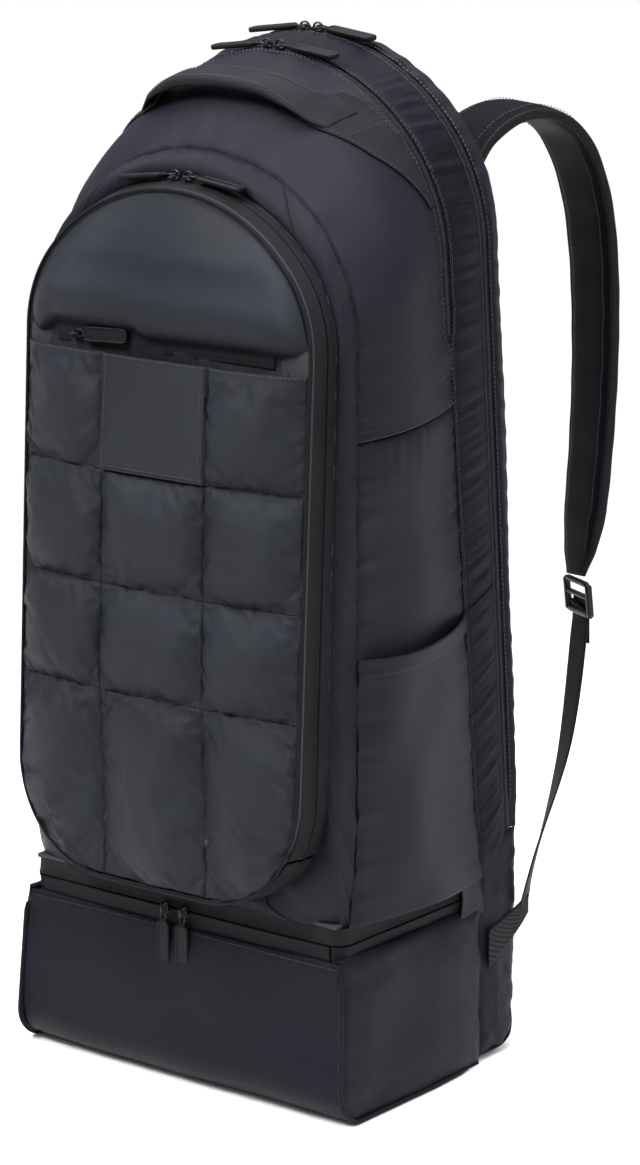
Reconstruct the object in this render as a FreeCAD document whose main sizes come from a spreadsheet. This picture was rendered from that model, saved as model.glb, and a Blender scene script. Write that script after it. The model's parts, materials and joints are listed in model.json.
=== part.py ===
import FreeCAD, Part
import math
import os
from collections import namedtuple

from FreeCAD import Placement, Rotation, Vector
from Sketcher import Constraint

# Racket backpack standing on its base.  +Z is up, +X is the bag's right side seen from the
# front, the front faces -Y and the shoulder straps are at +Y.  z = 0 is the floor, x = 0 is
# the plane of symmetry.  Millimetres and degrees.

doc = FreeCAD.newDocument("racket_backpack")

# ---------------------------------------------------------------- driving dimensions

SIZES = [
    ("wall", 3), ("gap", 0.3), ("ply_gap", 0.05), ("tape", 2),
    # shoe compartment and the sleeve behind it
    ("base_half", 150), ("base_front", 111), ("base_height", 124), ("base_round", 35),
    ("flap_half", 146), ("piping", 2), ("piping_width", 4), ("board", 3), ("zip_top", 147),
    ("seam_y", 57), ("sleeve_half", 148), ("back_y", 110), ("sleeve_top", 175),
    ("sleeve_round", 25), ("side_zip_end", 45), ("zip_inset", 3),
    # arch where the sloping top meets the front gusset
    ("front_half", 140), ("front_crown", 690), ("front_shoulder", 120), ("front_top", 160),
    ("front_y", 83), ("shell_low", 150), ("panel_split", 500),
    # main zip: an arch on a plane that leans forward as it rises
    ("main_half", 143), ("main_crown", 759), ("main_shoulder", 130), ("main_radius", 147),
    ("main_y", 77.7), ("main_lean", 5.71), ("main_tape", 8), ("chain", 1.5),
    # racket zip
    ("rear_half", 147), ("rear_crown", 767), ("rear_shoulder", 135), ("rear_radius", 150),
    ("rear_y", 109.3), ("rear_lean", 4.74), ("rear_tape", 7), ("rear_round", 10),
    ("panel_half", 128), ("panel_crown", 740), ("panel_shoulder", 116), ("panel_radius", 131),
    # front pocket: gusset arch, zip arch and panel arch, each on its own leaning plane
    ("gusset_half", 136), ("gusset_crown", 673), ("gusset_shoulder", 95),
    ("gusset_radius", 150), ("gusset_y", 116.6), ("gusset_lean", 2), ("gusset_corner", 85),
    ("middle_y", 131), ("middle_lean", 2.43), ("middle_in", 1.5),
    ("pocket_y", 145.4), ("pocket_lean", 2.86), ("pocket_in", 4), ("fold", 199),
    ("pocket_foot", 157), ("hem", 548), ("quilt", 14), ("slip_depth", 8), ("rim", 8),
    # side pockets
    ("side_in", 143.5), ("side_out", 152), ("side_mouth", 345), ("side_skin", 2),
    # handle
    ("grip_half", 112), ("grip_rise", 56), ("grip_thick", 6), ("grip_width", 34),
    ("grip_bend", 44), ("grip_run", 66), ("patch", 2),
    # straps
    ("strap_width", 56), ("strap_thick", 12), ("strap_edge", 5), ("strap_root_x", 70),
    ("strap_root_z", 690), ("strap_turn", -10), ("strap_tilt", -2.5), ("strap_gap", 5.2),
    ("lock_half", 19), ("lock_height", 30), ("lock_thick", 5), ("web_half", 12.5),
    ("web_thick", 2),
    # zip sliders and pulls
    ("slider_half", 4), ("slider_length", 9), ("slider_rise", 4), ("slider_gap", 0.4),
    ("pull_length", 46), ("pull_half", 5), ("pull_thick", 2.5), ("pull_round", 3),
    ("pull_dip", 5), ("pair_angle", 2.3),
]

sheet = doc.addObject("Spreadsheet::Sheet", "sizes")
for row, (alias, number) in enumerate(SIZES, start=1):
    sheet.set("A%d" % row, alias)
    sheet.set("B%d" % row, str(number))
    sheet.setAlias("B%d" % row, alias)
doc.recompute()


class Size:
    """A length that knows both its number and the sheet formula that it comes from."""

    def __init__(self, value, text):
        self.value = float(value)
        self.text = text

    def __add__(self, other):
        other = as_size(other)
        return Size(self.value + other.value, "(%s + %s)" % (self.text, other.text))

    def __sub__(self, other):
        other = as_size(other)
        return Size(self.value - other.value, "(%s - %s)" % (self.text, other.text))

    def __mul__(self, other):
        other = as_size(other)
        return Size(self.value * other.value, "(%s * %s)" % (self.text, other.text))

    def __radd__(self, other):
        return as_size(other) + self

    def __rsub__(self, other):
        return as_size(other) - self

    def __rmul__(self, other):
        return as_size(other) * self

    def __neg__(self):
        return Size(-self.value, "(-1 * %s)" % self.text)


def as_size(number):
    return number if isinstance(number, Size) else Size(number, "%g" % number)


class Sheet:
    """Every alias of the sheet as an attribute: s.wall, s.base_half and so on."""


s = Sheet()
for alias, number in SIZES:
    setattr(s, alias, Size(number, "sizes." + alias))

FAR = as_size(400)

# ---------------------------------------------------------------- sketches

Arch = namedtuple("Arch", "half foot crown shoulder radius corner y lean")


def inset(arch, depth, **changes):
    """The same arch, parallel and smaller by a depth all round."""
    smaller = arch._replace(half=arch.half - depth, crown=arch.crown - depth,
                            shoulder=arch.shoulder - depth, radius=arch.radius - depth)
    return smaller._replace(**changes)


def new_body(label):
    body = doc.addObject("PartDesign::Body", label)
    body.Label = label
    body.AllowCompound = True
    return body


def new_sketch(body, role, y=0, lean=0):
    """A sketch on one of the body's own planes; y moves an upright one back, lean tips it."""
    sketch = body.newObject("Sketcher::SketchObject", body.Label + "_sketch")
    plane = [f for f in body.Origin.OriginFeatures if f.Role == role][0]
    sketch.AttachmentSupport = [(plane, "")]
    sketch.MapMode = "FlatFace"
    y, lean = as_size(y), as_size(lean)
    sign = -1 if role == "XZ_Plane" else 1
    sketch.AttachmentOffset = Placement(Vector(0, 0, sign * y.value),
                                        Rotation(Vector(1, 0, 0), lean.value))
    sketch.setExpression("AttachmentOffset.Base.z", (sign * y).text)
    if lean.value:
        sketch.setExpression("AttachmentOffset.Rotation.Angle", lean.text)
    return sketch


def bind(sketch, kind, *where):
    """Adds a dimension whose last argument is a Size and binds it to the sheet."""
    size = as_size(where[-1])
    index = sketch.addConstraint(Constraint(kind, *where[:-1], size.value))
    sketch.setExpression("Constraints[%d]" % index, size.text)


def arch_sketch(body, arch):
    """Flat foot, two foot corners, two upright sides, two shoulders and a crown arc."""
    sketch = new_sketch(body, "XZ_Plane", arch.y, arch.lean)
    half, foot, crown = arch.half.value, arch.foot.value, arch.crown.value
    shoulder, radius, corner = arch.shoulder.value, arch.radius.value, arch.corner.value
    reach = half - shoulder
    centre = crown - radius
    spring = centre + math.sqrt((radius - shoulder) ** 2 - reach ** 2)
    swing = math.atan2(spring - centre, reach)
    quarter = math.pi / 2

    def arc(x, z, size, start, end):
        circle = Part.Circle(Vector(x, z, 0), Vector(0, 0, 1), size)
        return Part.ArcOfCircle(circle, start, end)

    def line(x0, z0, x1, z1):
        return Part.LineSegment(Vector(x0, z0, 0), Vector(x1, z1, 0))

    sketch.addGeometry([
        line(corner - half, foot, half - corner, foot),
        arc(half - corner, foot + corner, corner, -quarter, 0),
        line(half, foot + corner, half, spring),
        arc(reach, spring, shoulder, 0, swing),
        arc(0, centre, radius, swing, math.pi - swing),
        arc(-reach, spring, shoulder, math.pi - swing, math.pi),
        line(-half, spring, -half, foot + corner),
        arc(corner - half, foot + corner, corner, math.pi, 3 * quarter),
    ])
    for edge in range(8):
        sketch.addConstraint(Constraint("Tangent", edge, 2, (edge + 1) % 8, 1))
    sketch.addConstraint([
        Constraint("Vertical", 2), Constraint("Vertical", 6),
        Constraint("Symmetric", 0, 1, 0, 2, -2),
        Constraint("PointOnObject", 4, 3, -2),
        Constraint("Equal", 3, 5), Constraint("Equal", 1, 7),
    ])
    bind(sketch, "DistanceX", -1, 1, 2, 1, arch.half)
    bind(sketch, "DistanceY", -1, 1, 0, 1, arch.foot)
    bind(sketch, "DistanceY", -1, 1, 4, 3, arch.crown - arch.radius)
    bind(sketch, "Radius", 3, arch.shoulder)
    bind(sketch, "Radius", 4, arch.radius)
    bind(sketch, "Radius", 1, arch.corner)
    return sketch


def outline_sketch(body, role, corners, at=0, lean=0, closed=True, hole=None):
    """Straight runs between the corners (x, y) or (x, y, radius), rounded where asked."""
    sketch = new_sketch(body, role, at, lean)
    add_outline(sketch, corners, closed)
    if hole:
        add_outline(sketch, hole, True)
    return sketch


def add_outline(sketch, corners, closed):
    corners = [tuple(as_size(v) for v in corner) + (as_size(0),) * (3 - len(corner))
               for corner in corners]
    points = [Vector(x.value, y.value, 0) for x, y, _ in corners]
    count = len(points)
    starts, ends = list(points), list(points)
    for i in range(count):
        radius = corners[i][2].value
        if radius:
            before = (points[i - 1] - points[i]).normalize()
            after = (points[(i + 1) % count] - points[i]).normalize()
            reach = radius / math.tan(before.getAngle(after) / 2)
            ends[i] = points[i] + before * reach
            starts[i] = points[i] + after * reach
    runs = {}
    for i in range(count if closed else count - 1):
        runs[i] = sketch.addGeometry(Part.LineSegment(starts[i], ends[(i + 1) % count]))
    for i, (x, y, radius) in enumerate(corners):
        before, after = runs.get((i - 1) % count), runs.get(i)
        if radius.value:
            before_way = (points[i] - ends[i]).normalize()
            after_way = (starts[i] - points[i]).normalize()
            left_turn = before_way.cross(after_way).z > 0
            side = Vector(0, 0, 1) if left_turn else Vector(0, 0, -1)
            centre = ends[i] + side.cross(before_way) * radius.value
            first, last = (ends[i], starts[i]) if left_turn else (starts[i], ends[i])
            angles = [math.atan2(p.y - centre.y, p.x - centre.x) for p in (first, last)]
            circle = Part.Circle(centre, Vector(0, 0, 1), radius.value)
            arc = sketch.addGeometry(Part.ArcOfCircle(circle, angles[0], angles[1]))
            enter, leave = (1, 2) if left_turn else (2, 1)
            sketch.addConstraint(Constraint("Tangent", before, 2, arc, enter))
            sketch.addConstraint(Constraint("Tangent", arc, leave, after, 1))
            bind(sketch, "Radius", arc, radius)
            tip = sketch.addGeometry(Part.Point(points[i]), True)
            sketch.addConstraint(Constraint("PointOnObject", tip, 1, before))
            sketch.addConstraint(Constraint("PointOnObject", tip, 1, after))
            place = (tip, 1)
        elif before is None:
            place = (after, 1)
        else:
            place = (before, 2)
            if after is not None:
                sketch.addConstraint(Constraint("Coincident", before, 2, after, 1))
        bind(sketch, "DistanceX", -1, 1, *place, x)
        bind(sketch, "DistanceY", -1, 1, *place, y)


def box_corners(x0, x1, y0, y1):
    return [(x0, y0), (x1, y0), (x1, y1), (x0, y1)]


# ---------------------------------------------------------------- features

def pad(body, sketch, length, both=False, backwards=False):
    feature = body.newObject("PartDesign::Pad", body.Label + "_pad")
    feature.Profile = sketch
    feature.SideType = "Symmetric" if both else "One side"
    feature.Reversed = backwards
    feature.setExpression("Length", as_size(length).text)
    doc.recompute()
    return feature


def cut(body, sketch, length=FAR, both=False, backwards=False):
    """A pocket that has to take something away."""
    before = body.Shape.Volume
    feature = body.newObject("PartDesign::Pocket", body.Label + "_cut")
    feature.Profile = sketch
    feature.SideType = "Symmetric" if both else "One side"
    feature.Reversed = backwards
    feature.setExpression("Length", as_size(length).text)
    doc.recompute()
    if body.Shape.Volume > before - 1:
        raise RuntimeError("cut takes nothing from " + body.Label)
    return feature


def loft(body, kind, front, back):
    feature = body.newObject("PartDesign::" + kind, body.Label + "_loft")
    feature.Profile = arch_sketch(body, front)
    feature.Sections = [arch_sketch(body, back)]
    feature.Ruled = True
    doc.recompute()
    return feature


def trim(body, low=None, high=None):
    """Cuts away all below one height and all above another."""
    if low is not None:
        cut(body, outline_sketch(body, "YZ_Plane", box_corners(-FAR, FAR, -FAR, low)),
            FAR * 2, both=True)
    if high is not None:
        cut(body, outline_sketch(body, "YZ_Plane", box_corners(-FAR, FAR, high, FAR * 3)),
            FAR * 2, both=True)


def band(label, front, back, wall, low=None, high=None):
    """A cloth band: the ruled surface between two arches, thickened inwards.

    It is trimmed to a height range, or keeps its foot where none is given."""
    body = new_body(label)
    loft(body, "AdditiveLoft", front, back)
    loft(body, "SubtractiveLoft",
         *(inset(arch, wall, foot=arch.foot + wall, corner=arch.corner - wall)
           for arch in (front, back)))
    trim(body, low, high)
    return body


def plate(label, arch, thick, low=None, high=None, backwards=True):
    """A flat arch-shaped layer on the arch's own plane."""
    body = new_body(label)
    pad(body, arch_sketch(body, arch), thick, backwards=backwards)
    trim(body, low, high)
    return body


def prism(label, role, corners, length, at=0, both=False, backwards=False):
    body = new_body(label)
    pad(body, outline_sketch(body, role, corners, at), length, both, backwards)
    return body


def one_side(body, right):
    """Keeps the right or the left half."""
    x0, x1 = (-FAR, as_size(0)) if right else (as_size(0), FAR)
    cut(body, outline_sketch(body, "XZ_Plane", box_corners(x0, x1, -FAR, FAR * 3)),
        FAR * 2, both=True)


def edges_where(shape, test):
    return ["Edge%d" % (i + 1) for i, edge in enumerate(shape.Edges) if test(edge)]


def fillet(body, radius, test):
    base = body.Tip
    names = edges_where(base.Shape, test)
    feature = body.newObject("PartDesign::Fillet", body.Label + "_fillet")
    feature.Base = (base, names)
    feature.setExpression("Radius", as_size(radius).text)
    doc.recompute()
    return feature


parts = []

# ---------------------------------------------------------------- arches of the bag

low_foot = as_size(100)
small_corner = as_size(6)
front_arch = Arch(s.front_half, low_foot, s.front_crown, s.front_shoulder, s.front_top,
                  small_corner, -s.front_y, as_size(0))
main_arch = Arch(s.main_half, low_foot, s.main_crown, s.main_shoulder, s.main_radius,
                 small_corner, s.main_y, s.main_lean)
rear_arch = Arch(s.rear_half, low_foot, s.rear_crown, s.rear_shoulder, s.rear_radius,
                 as_size(12), s.rear_y, s.rear_lean)
back_arch = Arch(s.panel_half, s.sleeve_top + 12, s.panel_crown, s.panel_shoulder,
                 s.panel_radius, s.rear_round, s.back_y, as_size(0))
gusset_arch = Arch(s.gusset_half, s.pocket_foot, s.gusset_crown, s.gusset_shoulder,
                   s.gusset_radius, s.gusset_corner, -s.gusset_y, -s.gusset_lean)
middle_arch = inset(gusset_arch, s.middle_in, y=-s.middle_y, lean=-s.middle_lean,
                    foot=s.pocket_foot + 1)
pocket_arch = inset(gusset_arch, s.pocket_in, y=-s.pocket_y, lean=-s.pocket_lean,
                    foot=s.pocket_foot + 2)


def shifted(arch, distance):
    """The same arch moved back along Y."""
    return arch._replace(y=arch.y + distance)


# ---------------------------------------------------------------- shoe compartment

def make_base():
    floor_line = [(-s.base_front, 0, s.base_round), (s.seam_y, 0), (s.seam_y, s.base_height),
                  (-s.base_front, s.base_height)]
    tub = prism("base_tub", "YZ_Plane", floor_line, s.base_half * 2, both=True)
    inner = [(s.wall - s.base_front, s.wall, s.base_round - s.wall), (FAR, s.wall),
             (FAR, FAR), (s.wall - s.base_front, FAR)]
    cut(tub, outline_sketch(tub, "YZ_Plane", inner), (s.base_half - s.wall) * 2, both=True)
    mouth = box_corners(-s.flap_half - s.gap, s.flap_half + s.gap, s.base_round, FAR)
    cut(tub, outline_sketch(tub, "XZ_Plane", mouth, at=4 - s.base_front), backwards=True)

    board = doc.addObject("Part::Box", "base_board")
    board.setExpression("Length", "(sizes.base_half - 2 * sizes.wall) * 2")
    board.setExpression("Width", "sizes.base_front + sizes.seam_y - sizes.base_round - 4")
    board.setExpression("Height", "sizes.board")
    board.Placement = Placement(Vector(-144, -75, 3), Rotation())
    board.Label = "base_board"

    piping = prism("base_piping", "YZ_Plane", floor_line, (s.base_half + s.piping) * 2,
                   both=True)
    inside = [(s.piping_width - s.base_front, s.piping_width, s.base_round - s.piping_width),
              (s.seam_y - s.piping_width, s.piping_width),
              (s.seam_y - s.piping_width, s.base_height - s.piping_width),
              (s.piping_width - s.base_front, s.base_height - s.piping_width)]
    cut(piping, outline_sketch(piping, "YZ_Plane", inside), FAR * 2, both=True)
    cut(piping, outline_sketch(piping, "YZ_Plane", box_corners(-FAR, FAR, -FAR, FAR)),
        s.base_half * 2, both=True)

    tape_y = s.base_front - s.zip_inset
    tape_x = s.base_half - s.zip_inset
    ring = [(-tape_x, -tape_y, 12), (tape_x, -tape_y, 12), (tape_x, s.side_zip_end),
            (-tape_x, s.side_zip_end)]
    tape = prism("shoe_zip_tape", "XY_Plane", ring, s.zip_top - s.base_height + 6,
                 at=s.base_height - 6)
    hole = [(s.tape - tape_x, s.tape - tape_y, 10), (tape_x - s.tape, s.tape - tape_y, 10),
            (tape_x - s.tape, FAR), (s.tape - tape_x, FAR)]
    cut(tape, outline_sketch(tape, "XY_Plane", hole), backwards=True)
    lower = box_corners(-FAR, FAR, 0, s.base_height + 10)
    cut(tape, outline_sketch(tape, "XZ_Plane", lower, at=-s.base_front + 15),
        backwards=True)

    sleeve_line = [(s.seam_y, 0), (s.back_y, 0, s.sleeve_round), (s.back_y, s.sleeve_top),
                   (s.seam_y, s.sleeve_top)]
    sleeve = prism("sleeve_tub", "YZ_Plane", sleeve_line, s.sleeve_half * 2, both=True)
    hollow = [(s.seam_y + s.wall, s.wall),
              (s.back_y - s.wall, s.wall, s.sleeve_round - s.wall),
              (s.back_y - s.wall, FAR), (s.seam_y + s.wall, FAR)]
    cut(sleeve, outline_sketch(sleeve, "YZ_Plane", hollow),
        (s.sleeve_half - s.wall) * 2, both=True)

    floor = prism("compartment_floor", "XY_Plane",
                  box_corners(-s.main_half, s.main_half, s.wall - s.base_front, s.seam_y),
                  s.board, at=s.zip_top)

    flap = prism("shoe_flap_panel", "XZ_Plane",
                 box_corners(-s.flap_half, s.flap_half, s.base_round + s.gap, s.base_height),
                 s.wall, at=s.wall - s.base_front)
    flap_tape = prism("shoe_flap_tape", "XZ_Plane",
                      box_corners(8 - s.flap_half, s.flap_half - 8, s.base_height - 8,
                                  s.base_height + 9.6),
                      s.tape, at=s.wall + s.tape - s.base_front)
    parts.extend([tub, board, piping, tape, sleeve, floor, flap, flap_tape])


# ---------------------------------------------------------------- main compartment shell

def make_shell():
    edge = shifted(main_arch, -s.main_tape)
    top = band("top_panel", front_arch, edge, s.wall, low=s.panel_split)
    parts.append(top)
    for label, right in (("side_panel_left", False), ("side_panel_right", True)):
        side = band(label, front_arch, edge, s.wall, low=s.shell_low, high=s.panel_split)
        one_side(side, right)
        parts.append(side)
    wall = plate("front_wall", front_arch, s.wall, low=s.shell_low, backwards=False)
    tape = band("main_zip_tape", edge, shifted(main_arch, s.main_tape), s.tape,
                low=s.sleeve_top)
    chain_arch = inset(main_arch, -s.chain)
    chain = band("main_zip_chain", shifted(chain_arch, -s.chain),
                 shifted(chain_arch, s.chain), s.chain, low=560)
    gusset = band("gusset_band", shifted(main_arch, s.main_tape),
                  shifted(rear_arch, -s.rear_tape), s.wall, low=s.sleeve_top)
    rear_tape = band("racket_zip_tape", shifted(rear_arch, -s.rear_tape),
                     shifted(rear_arch, -s.gap), s.tape, low=s.sleeve_top)
    divider = plate("main_divider", inset(shifted(main_arch, s.main_tape + 2), s.wall + 1),
                    s.wall, low=s.sleeve_top)
    parts.extend([wall, tape, chain, gusset, rear_tape, divider])


# ---------------------------------------------------------------- racket compartment door

def make_door():
    edge = shifted(rear_arch, s.rear_tape)
    rim = new_body("door_rim")
    outer = rear_arch._replace(foot=s.sleeve_top + s.gap, y=s.back_y, lean=as_size(0),
                               crown=s.rear_crown - 3)
    pad(rim, arch_sketch(rim, outer), as_size(100))
    fillet(rim, s.rear_round, lambda e: abs(e.BoundBox.YMin - s.back_y.value) < 0.01)
    inner = inset(outer, s.wall, y=s.back_y - 4, foot=s.sleeve_top + s.gap + s.wall)
    cut(rim, arch_sketch(rim, inner), backwards=True)
    cut(rim, arch_sketch(rim, back_arch), both=True)
    ahead = outline_sketch(rim, "XZ_Plane", box_corners(-FAR, FAR, 0, FAR * 3), edge.y,
                           edge.lean)
    cut(rim, ahead, backwards=True)

    panel = plate("back_panel", shifted(back_arch, -4), 4)
    sheet_arch = inset(back_arch, 4, y=s.back_y - 6, foot=s.sleeve_top + 24)
    stiffener = plate("frame_sheet", sheet_arch, 2)
    tape = band("door_zip_tape", shifted(rear_arch, s.gap), edge, s.tape,
                low=s.sleeve_top + s.gap)
    pads = prism("back_pads", "XZ_Plane",
                 [(14, 250, 14), (104, 250, 14), (104, 620, 30), (14, 620, 14)], 6,
                 at=s.back_y, backwards=True)
    left_pad = [(-104, 250, 14), (-14, 250, 14), (-14, 620, 14), (-104, 620, 30)]
    pad(pads, outline_sketch(pads, "XZ_Plane", left_pad, s.back_y), as_size(6),
        backwards=True)
    parts.extend([rim, panel, stiffener, tape, pads])


# ---------------------------------------------------------------- front pocket

def make_pocket():
    behind = front_arch._replace(y=-s.front_y - s.wall, foot=s.shell_low)
    gusset = band("pocket_gusset", gusset_arch, behind, s.wall)
    tape = band("pocket_zip_tape", shifted(middle_arch, s.gap), gusset_arch, s.tape,
                low=s.fold)
    foot = new_body("pocket_foot")
    foot_front = shifted(pocket_arch, -s.quilt)
    loft(foot, "AdditiveLoft", foot_front, gusset_arch)
    loft(foot, "SubtractiveLoft",
         inset(foot_front, s.wall, foot=foot_front.foot + s.wall, y=foot_front.y + s.wall,
               corner=s.gusset_corner - s.wall),
         inset(gusset_arch, s.wall, foot=gusset_arch.foot + s.wall,
               corner=s.gusset_corner - s.wall))
    trim(foot, high=s.fold)

    flap_low = s.fold + s.gap
    flap_tape = band("pocket_flap_tape", pocket_arch, shifted(middle_arch, -s.gap), s.tape,
                     low=flap_low)
    backing = plate("backing_panel", pocket_arch, s.wall, low=flap_low, backwards=False)
    on_backing = shifted(pocket_arch, -s.wall - s.ply_gap)
    arch_pad = plate("arch_pad", inset(on_backing, s.piping_width), s.slip_depth,
                     low=s.hem + 20, backwards=False)
    quilt = plate("quilted_panel", inset(on_backing, s.piping_width), s.quilt - s.wall,
                  low=flap_low, high=s.hem, backwards=False)
    slot = inset(on_backing, s.piping_width + s.rim)
    slot = slot._replace(foot=s.fold + 40, corner=as_size(10))
    cut(quilt, arch_sketch(quilt, slot), s.slip_depth - 2, backwards=True)
    piping = plate("pocket_piping", on_backing, s.piping_width, low=flap_low,
                   backwards=False)
    cut(piping, arch_sketch(piping, inset(on_backing, s.piping_width, foot=as_size(120))),
        FAR, both=True)
    parts.extend([gusset, tape, foot, flap_tape, backing, arch_pad, quilt, piping])


# ---------------------------------------------------------------- side pockets

def make_side_pockets():
    outline = [(-s.front_y + 3, s.shell_low, 12), (38, s.shell_low, 12),
               (38, s.side_mouth + 4), (-s.front_y + 3, s.side_mouth - 4)]
    hollow = [(-s.front_y + 9, s.shell_low + 6, 8), (32, s.shell_low + 6, 8),
              (32, FAR), (-s.front_y + 9, FAR)]
    for label, side in (("side_pocket_left", -1), ("side_pocket_right", 1)):
        body = new_body(label)
        pad(body, outline_sketch(body, "YZ_Plane", outline, side * s.side_in),
            s.side_out - s.side_in, backwards=side < 0)
        cut(body, outline_sketch(body, "YZ_Plane", hollow, side * s.side_in),
            s.side_out - s.side_in - s.side_skin, backwards=side > 0)
        parts.append(body)


# ---------------------------------------------------------------- handle and its patches

def make_handle():
    run, rise, end, bend = s.grip_run, s.grip_rise, s.grip_half, s.grip_bend
    thick = s.grip_thick
    arch = [(end, 0), (run, rise, bend), (-run, rise, bend), (-end, 0), (-end + 9, 0),
            (-run + 2, rise - thick, bend - thick), (run - 2, rise - thick, bend - thick),
            (end - 9, 0)]
    grip = prism("handle_grip", "XZ_Plane", arch, s.grip_width, both=True)
    grip.Placement = Placement(Vector(0, -46, 689), Rotation(Vector(1, 0, 0), 24))

    edge = shifted(main_arch, -s.main_tape)
    patches = new_body("handle_patches")
    loft(patches, "AdditiveLoft", inset(front_arch, -s.patch), inset(edge, -s.patch))
    loft(patches, "SubtractiveLoft", front_arch, edge)
    trim(patches, low=650)
    around = box_corners(-FAR, FAR, -FAR, FAR)
    patch_corners = [(88, -66), (88, -32), (112, -18), (150, -4), (150, -14), (122, -42)]
    right = [(x, y) for x, y in patch_corners]
    left = [(-x, y) for x, y in patch_corners]
    region = outline_sketch(patches, "XY_Plane", around, hole=right)
    add_outline(region, left, True)
    cut(patches, region, FAR * 3, backwards=True)
    parts.extend([grip, patches])


# ---------------------------------------------------------------- shoulder straps

def make_straps():
    route = [(s.strap_gap, -10), (42, 6, 60), (96, 12, 66), (149, -40, 66),
             (153, -150, 400), (146, -262, 400), (136, -355)]
    for label, side in (("left", -1), ("right", 1)):
        root = Placement(Vector(side * s.strap_root_x.value, s.back_y.value,
                                s.strap_root_z.value),
                         Rotation(Vector(0, 0, 1), side * s.strap_turn.value))
        root = root * Placement(Vector(), Rotation(Vector(0, 1, 0),
                                                   side * s.strap_tilt.value))
        strap = new_body("strap_" + label)
        half, edge = s.strap_width * 0.5, s.strap_thick * 0.5
        section = outline_sketch(
            strap, "XZ_Plane",
            [(-half, -10 - edge, s.strap_edge), (half, -10 - edge, s.strap_edge),
             (half, edge - 10, s.strap_edge), (-half, edge - 10, s.strap_edge)],
            at=s.strap_gap)
        spine = outline_sketch(strap, "YZ_Plane", route, closed=False)
        pipe = strap.newObject("PartDesign::AdditivePipe", strap.Label + "_pipe")
        pipe.Profile = section
        pipe.Spine = (spine, [])
        pipe.Mode = "Frenet"
        doc.recompute()
        strap.Placement = root

        lock = prism("ladder_lock_" + label, "XZ_Plane",
                     box_corners(-s.lock_half, s.lock_half, -s.lock_height, -1.6),
                     s.lock_thick, both=True)
        for top in (-5, -17):
            slot = box_corners(-s.web_half - 1, s.web_half + 1, top - 5, top)
            cut(lock, outline_sketch(lock, "XZ_Plane", slot), both=True)
        lock_place = root * Placement(Vector(0, 136, -355), Rotation(Vector(1, 0, 0), 5))
        lock.Placement = lock_place

        start = lock_place.multVec(Vector(0, 0, -s.lock_height.value - 1))
        finish = Vector(side * (s.sleeve_half.value + 1), s.back_y.value + 9.5, 112)
        flat = Vector(finish.x - start.x, finish.y - start.y, 0)
        web = new_body("webbing_" + label)
        drop, reach = finish.z - start.z, flat.Length
        thick = s.web_thick
        line = [(0, 0), (reach * 0.42, drop * 0.48, 300), (reach, drop),
                (reach + thick, drop), (reach * 0.42 + thick, drop * 0.48, 300),
                (thick, 0)]
        pad(web, outline_sketch(web, "YZ_Plane", line), s.web_half * 2, both=True)
        web.Placement = Placement(start, Rotation(Vector(0, 1, 0), flat))
        parts.extend([strap, lock, web])

    tip = [(66, 73), (s.back_y, 100), (118, 106), (118, 118), (s.back_y, 116), (66, 103)]
    anchors = prism("strap_anchors", "YZ_Plane", tip, (s.sleeve_half + s.tape) * 2,
                    both=True)
    cut(anchors, outline_sketch(anchors, "YZ_Plane", box_corners(-FAR, FAR, -FAR, FAR)),
        s.sleeve_half * 2, both=True)
    parts.append(anchors)


# ---------------------------------------------------------------- zip sliders and pulls

PIVOT = 3.8
PIN = 0.8
PIN_HOLE = 0.86


def make_slider(name, place, lift, dip):
    """A slider standing on the tape, pull hinged between its two ears.

    In the slider's own frame X runs along the chain and Z away from the tape."""
    length, top = s.slider_length * 0.5, lift + 5.4
    side = [(-length, lift), (length, lift), (length, lift + 2.4), (2.4, top, 1.5),
            (-2.4, top, 1.5), (-length, lift + 2.4)]
    slider = prism(name + "_slider", "XZ_Plane", side, s.slider_half * 2, both=True)
    slot = box_corners(-2.2, 2.2, lift + 1.6, 40)
    cut(slider, outline_sketch(slider, "YZ_Plane", slot), both=True)
    hole = new_sketch(slider, "XZ_Plane")
    circle = hole.addGeometry(Part.Circle(Vector(0, lift.value + PIVOT, 0),
                                          Vector(0, 0, 1), PIN_HOLE))
    bind(hole, "Radius", circle, PIN_HOLE)
    bind(hole, "DistanceY", -1, 1, circle, 3, lift + PIVOT)
    hole.addConstraint(Constraint("PointOnObject", circle, 3, -2))
    cut(slider, hole, both=True)
    slider.Placement = place

    pull = prism(name + "_pull", "XY_Plane",
                 [(-1.1, -1.8), (12, -1.8), (12, 1.8), (-1.1, 1.8)], 2.2, both=True)
    grip = outline_sketch(pull, "XY_Plane", [
        (9, -s.pull_half, s.pull_round), (s.pull_length, -s.pull_half, s.pull_round),
        (s.pull_length, s.pull_half, s.pull_round), (9, s.pull_half, s.pull_round)])
    pad(pull, grip, s.pull_thick, both=True)
    pin = new_sketch(pull, "XZ_Plane")
    circle = pin.addGeometry(Part.Circle(Vector(), Vector(0, 0, 1), PIN))
    bind(pin, "Radius", circle, PIN)
    pin.addConstraint(Constraint("Coincident", circle, 3, -1, 1))
    pad(pull, pin, 7.6, both=True)
    pull.Placement = place * Placement(Vector(0, 0, lift.value + PIVOT),
                                       Rotation(Vector(0, 1, 0), dip.value))
    parts.extend([slider, pull])


def arc_place(arch, angle, side):
    """The frame of a slider on an arch's crown arc, an angle to one side of its middle."""
    plane = Placement(Vector(0, arch.y.value, 0),
                      Rotation(Vector(1, 0, 0), arch.lean.value))
    centre = arch.crown.value - arch.radius.value
    turned = Placement(Vector(0, 0, centre), Rotation(Vector(0, 1, 0), side * angle))
    outward = Placement(Vector(0, 0, arch.radius.value),
                        Rotation(Vector(0, 0, 1), 0 if side > 0 else 180))
    return plane * turned * outward


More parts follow.
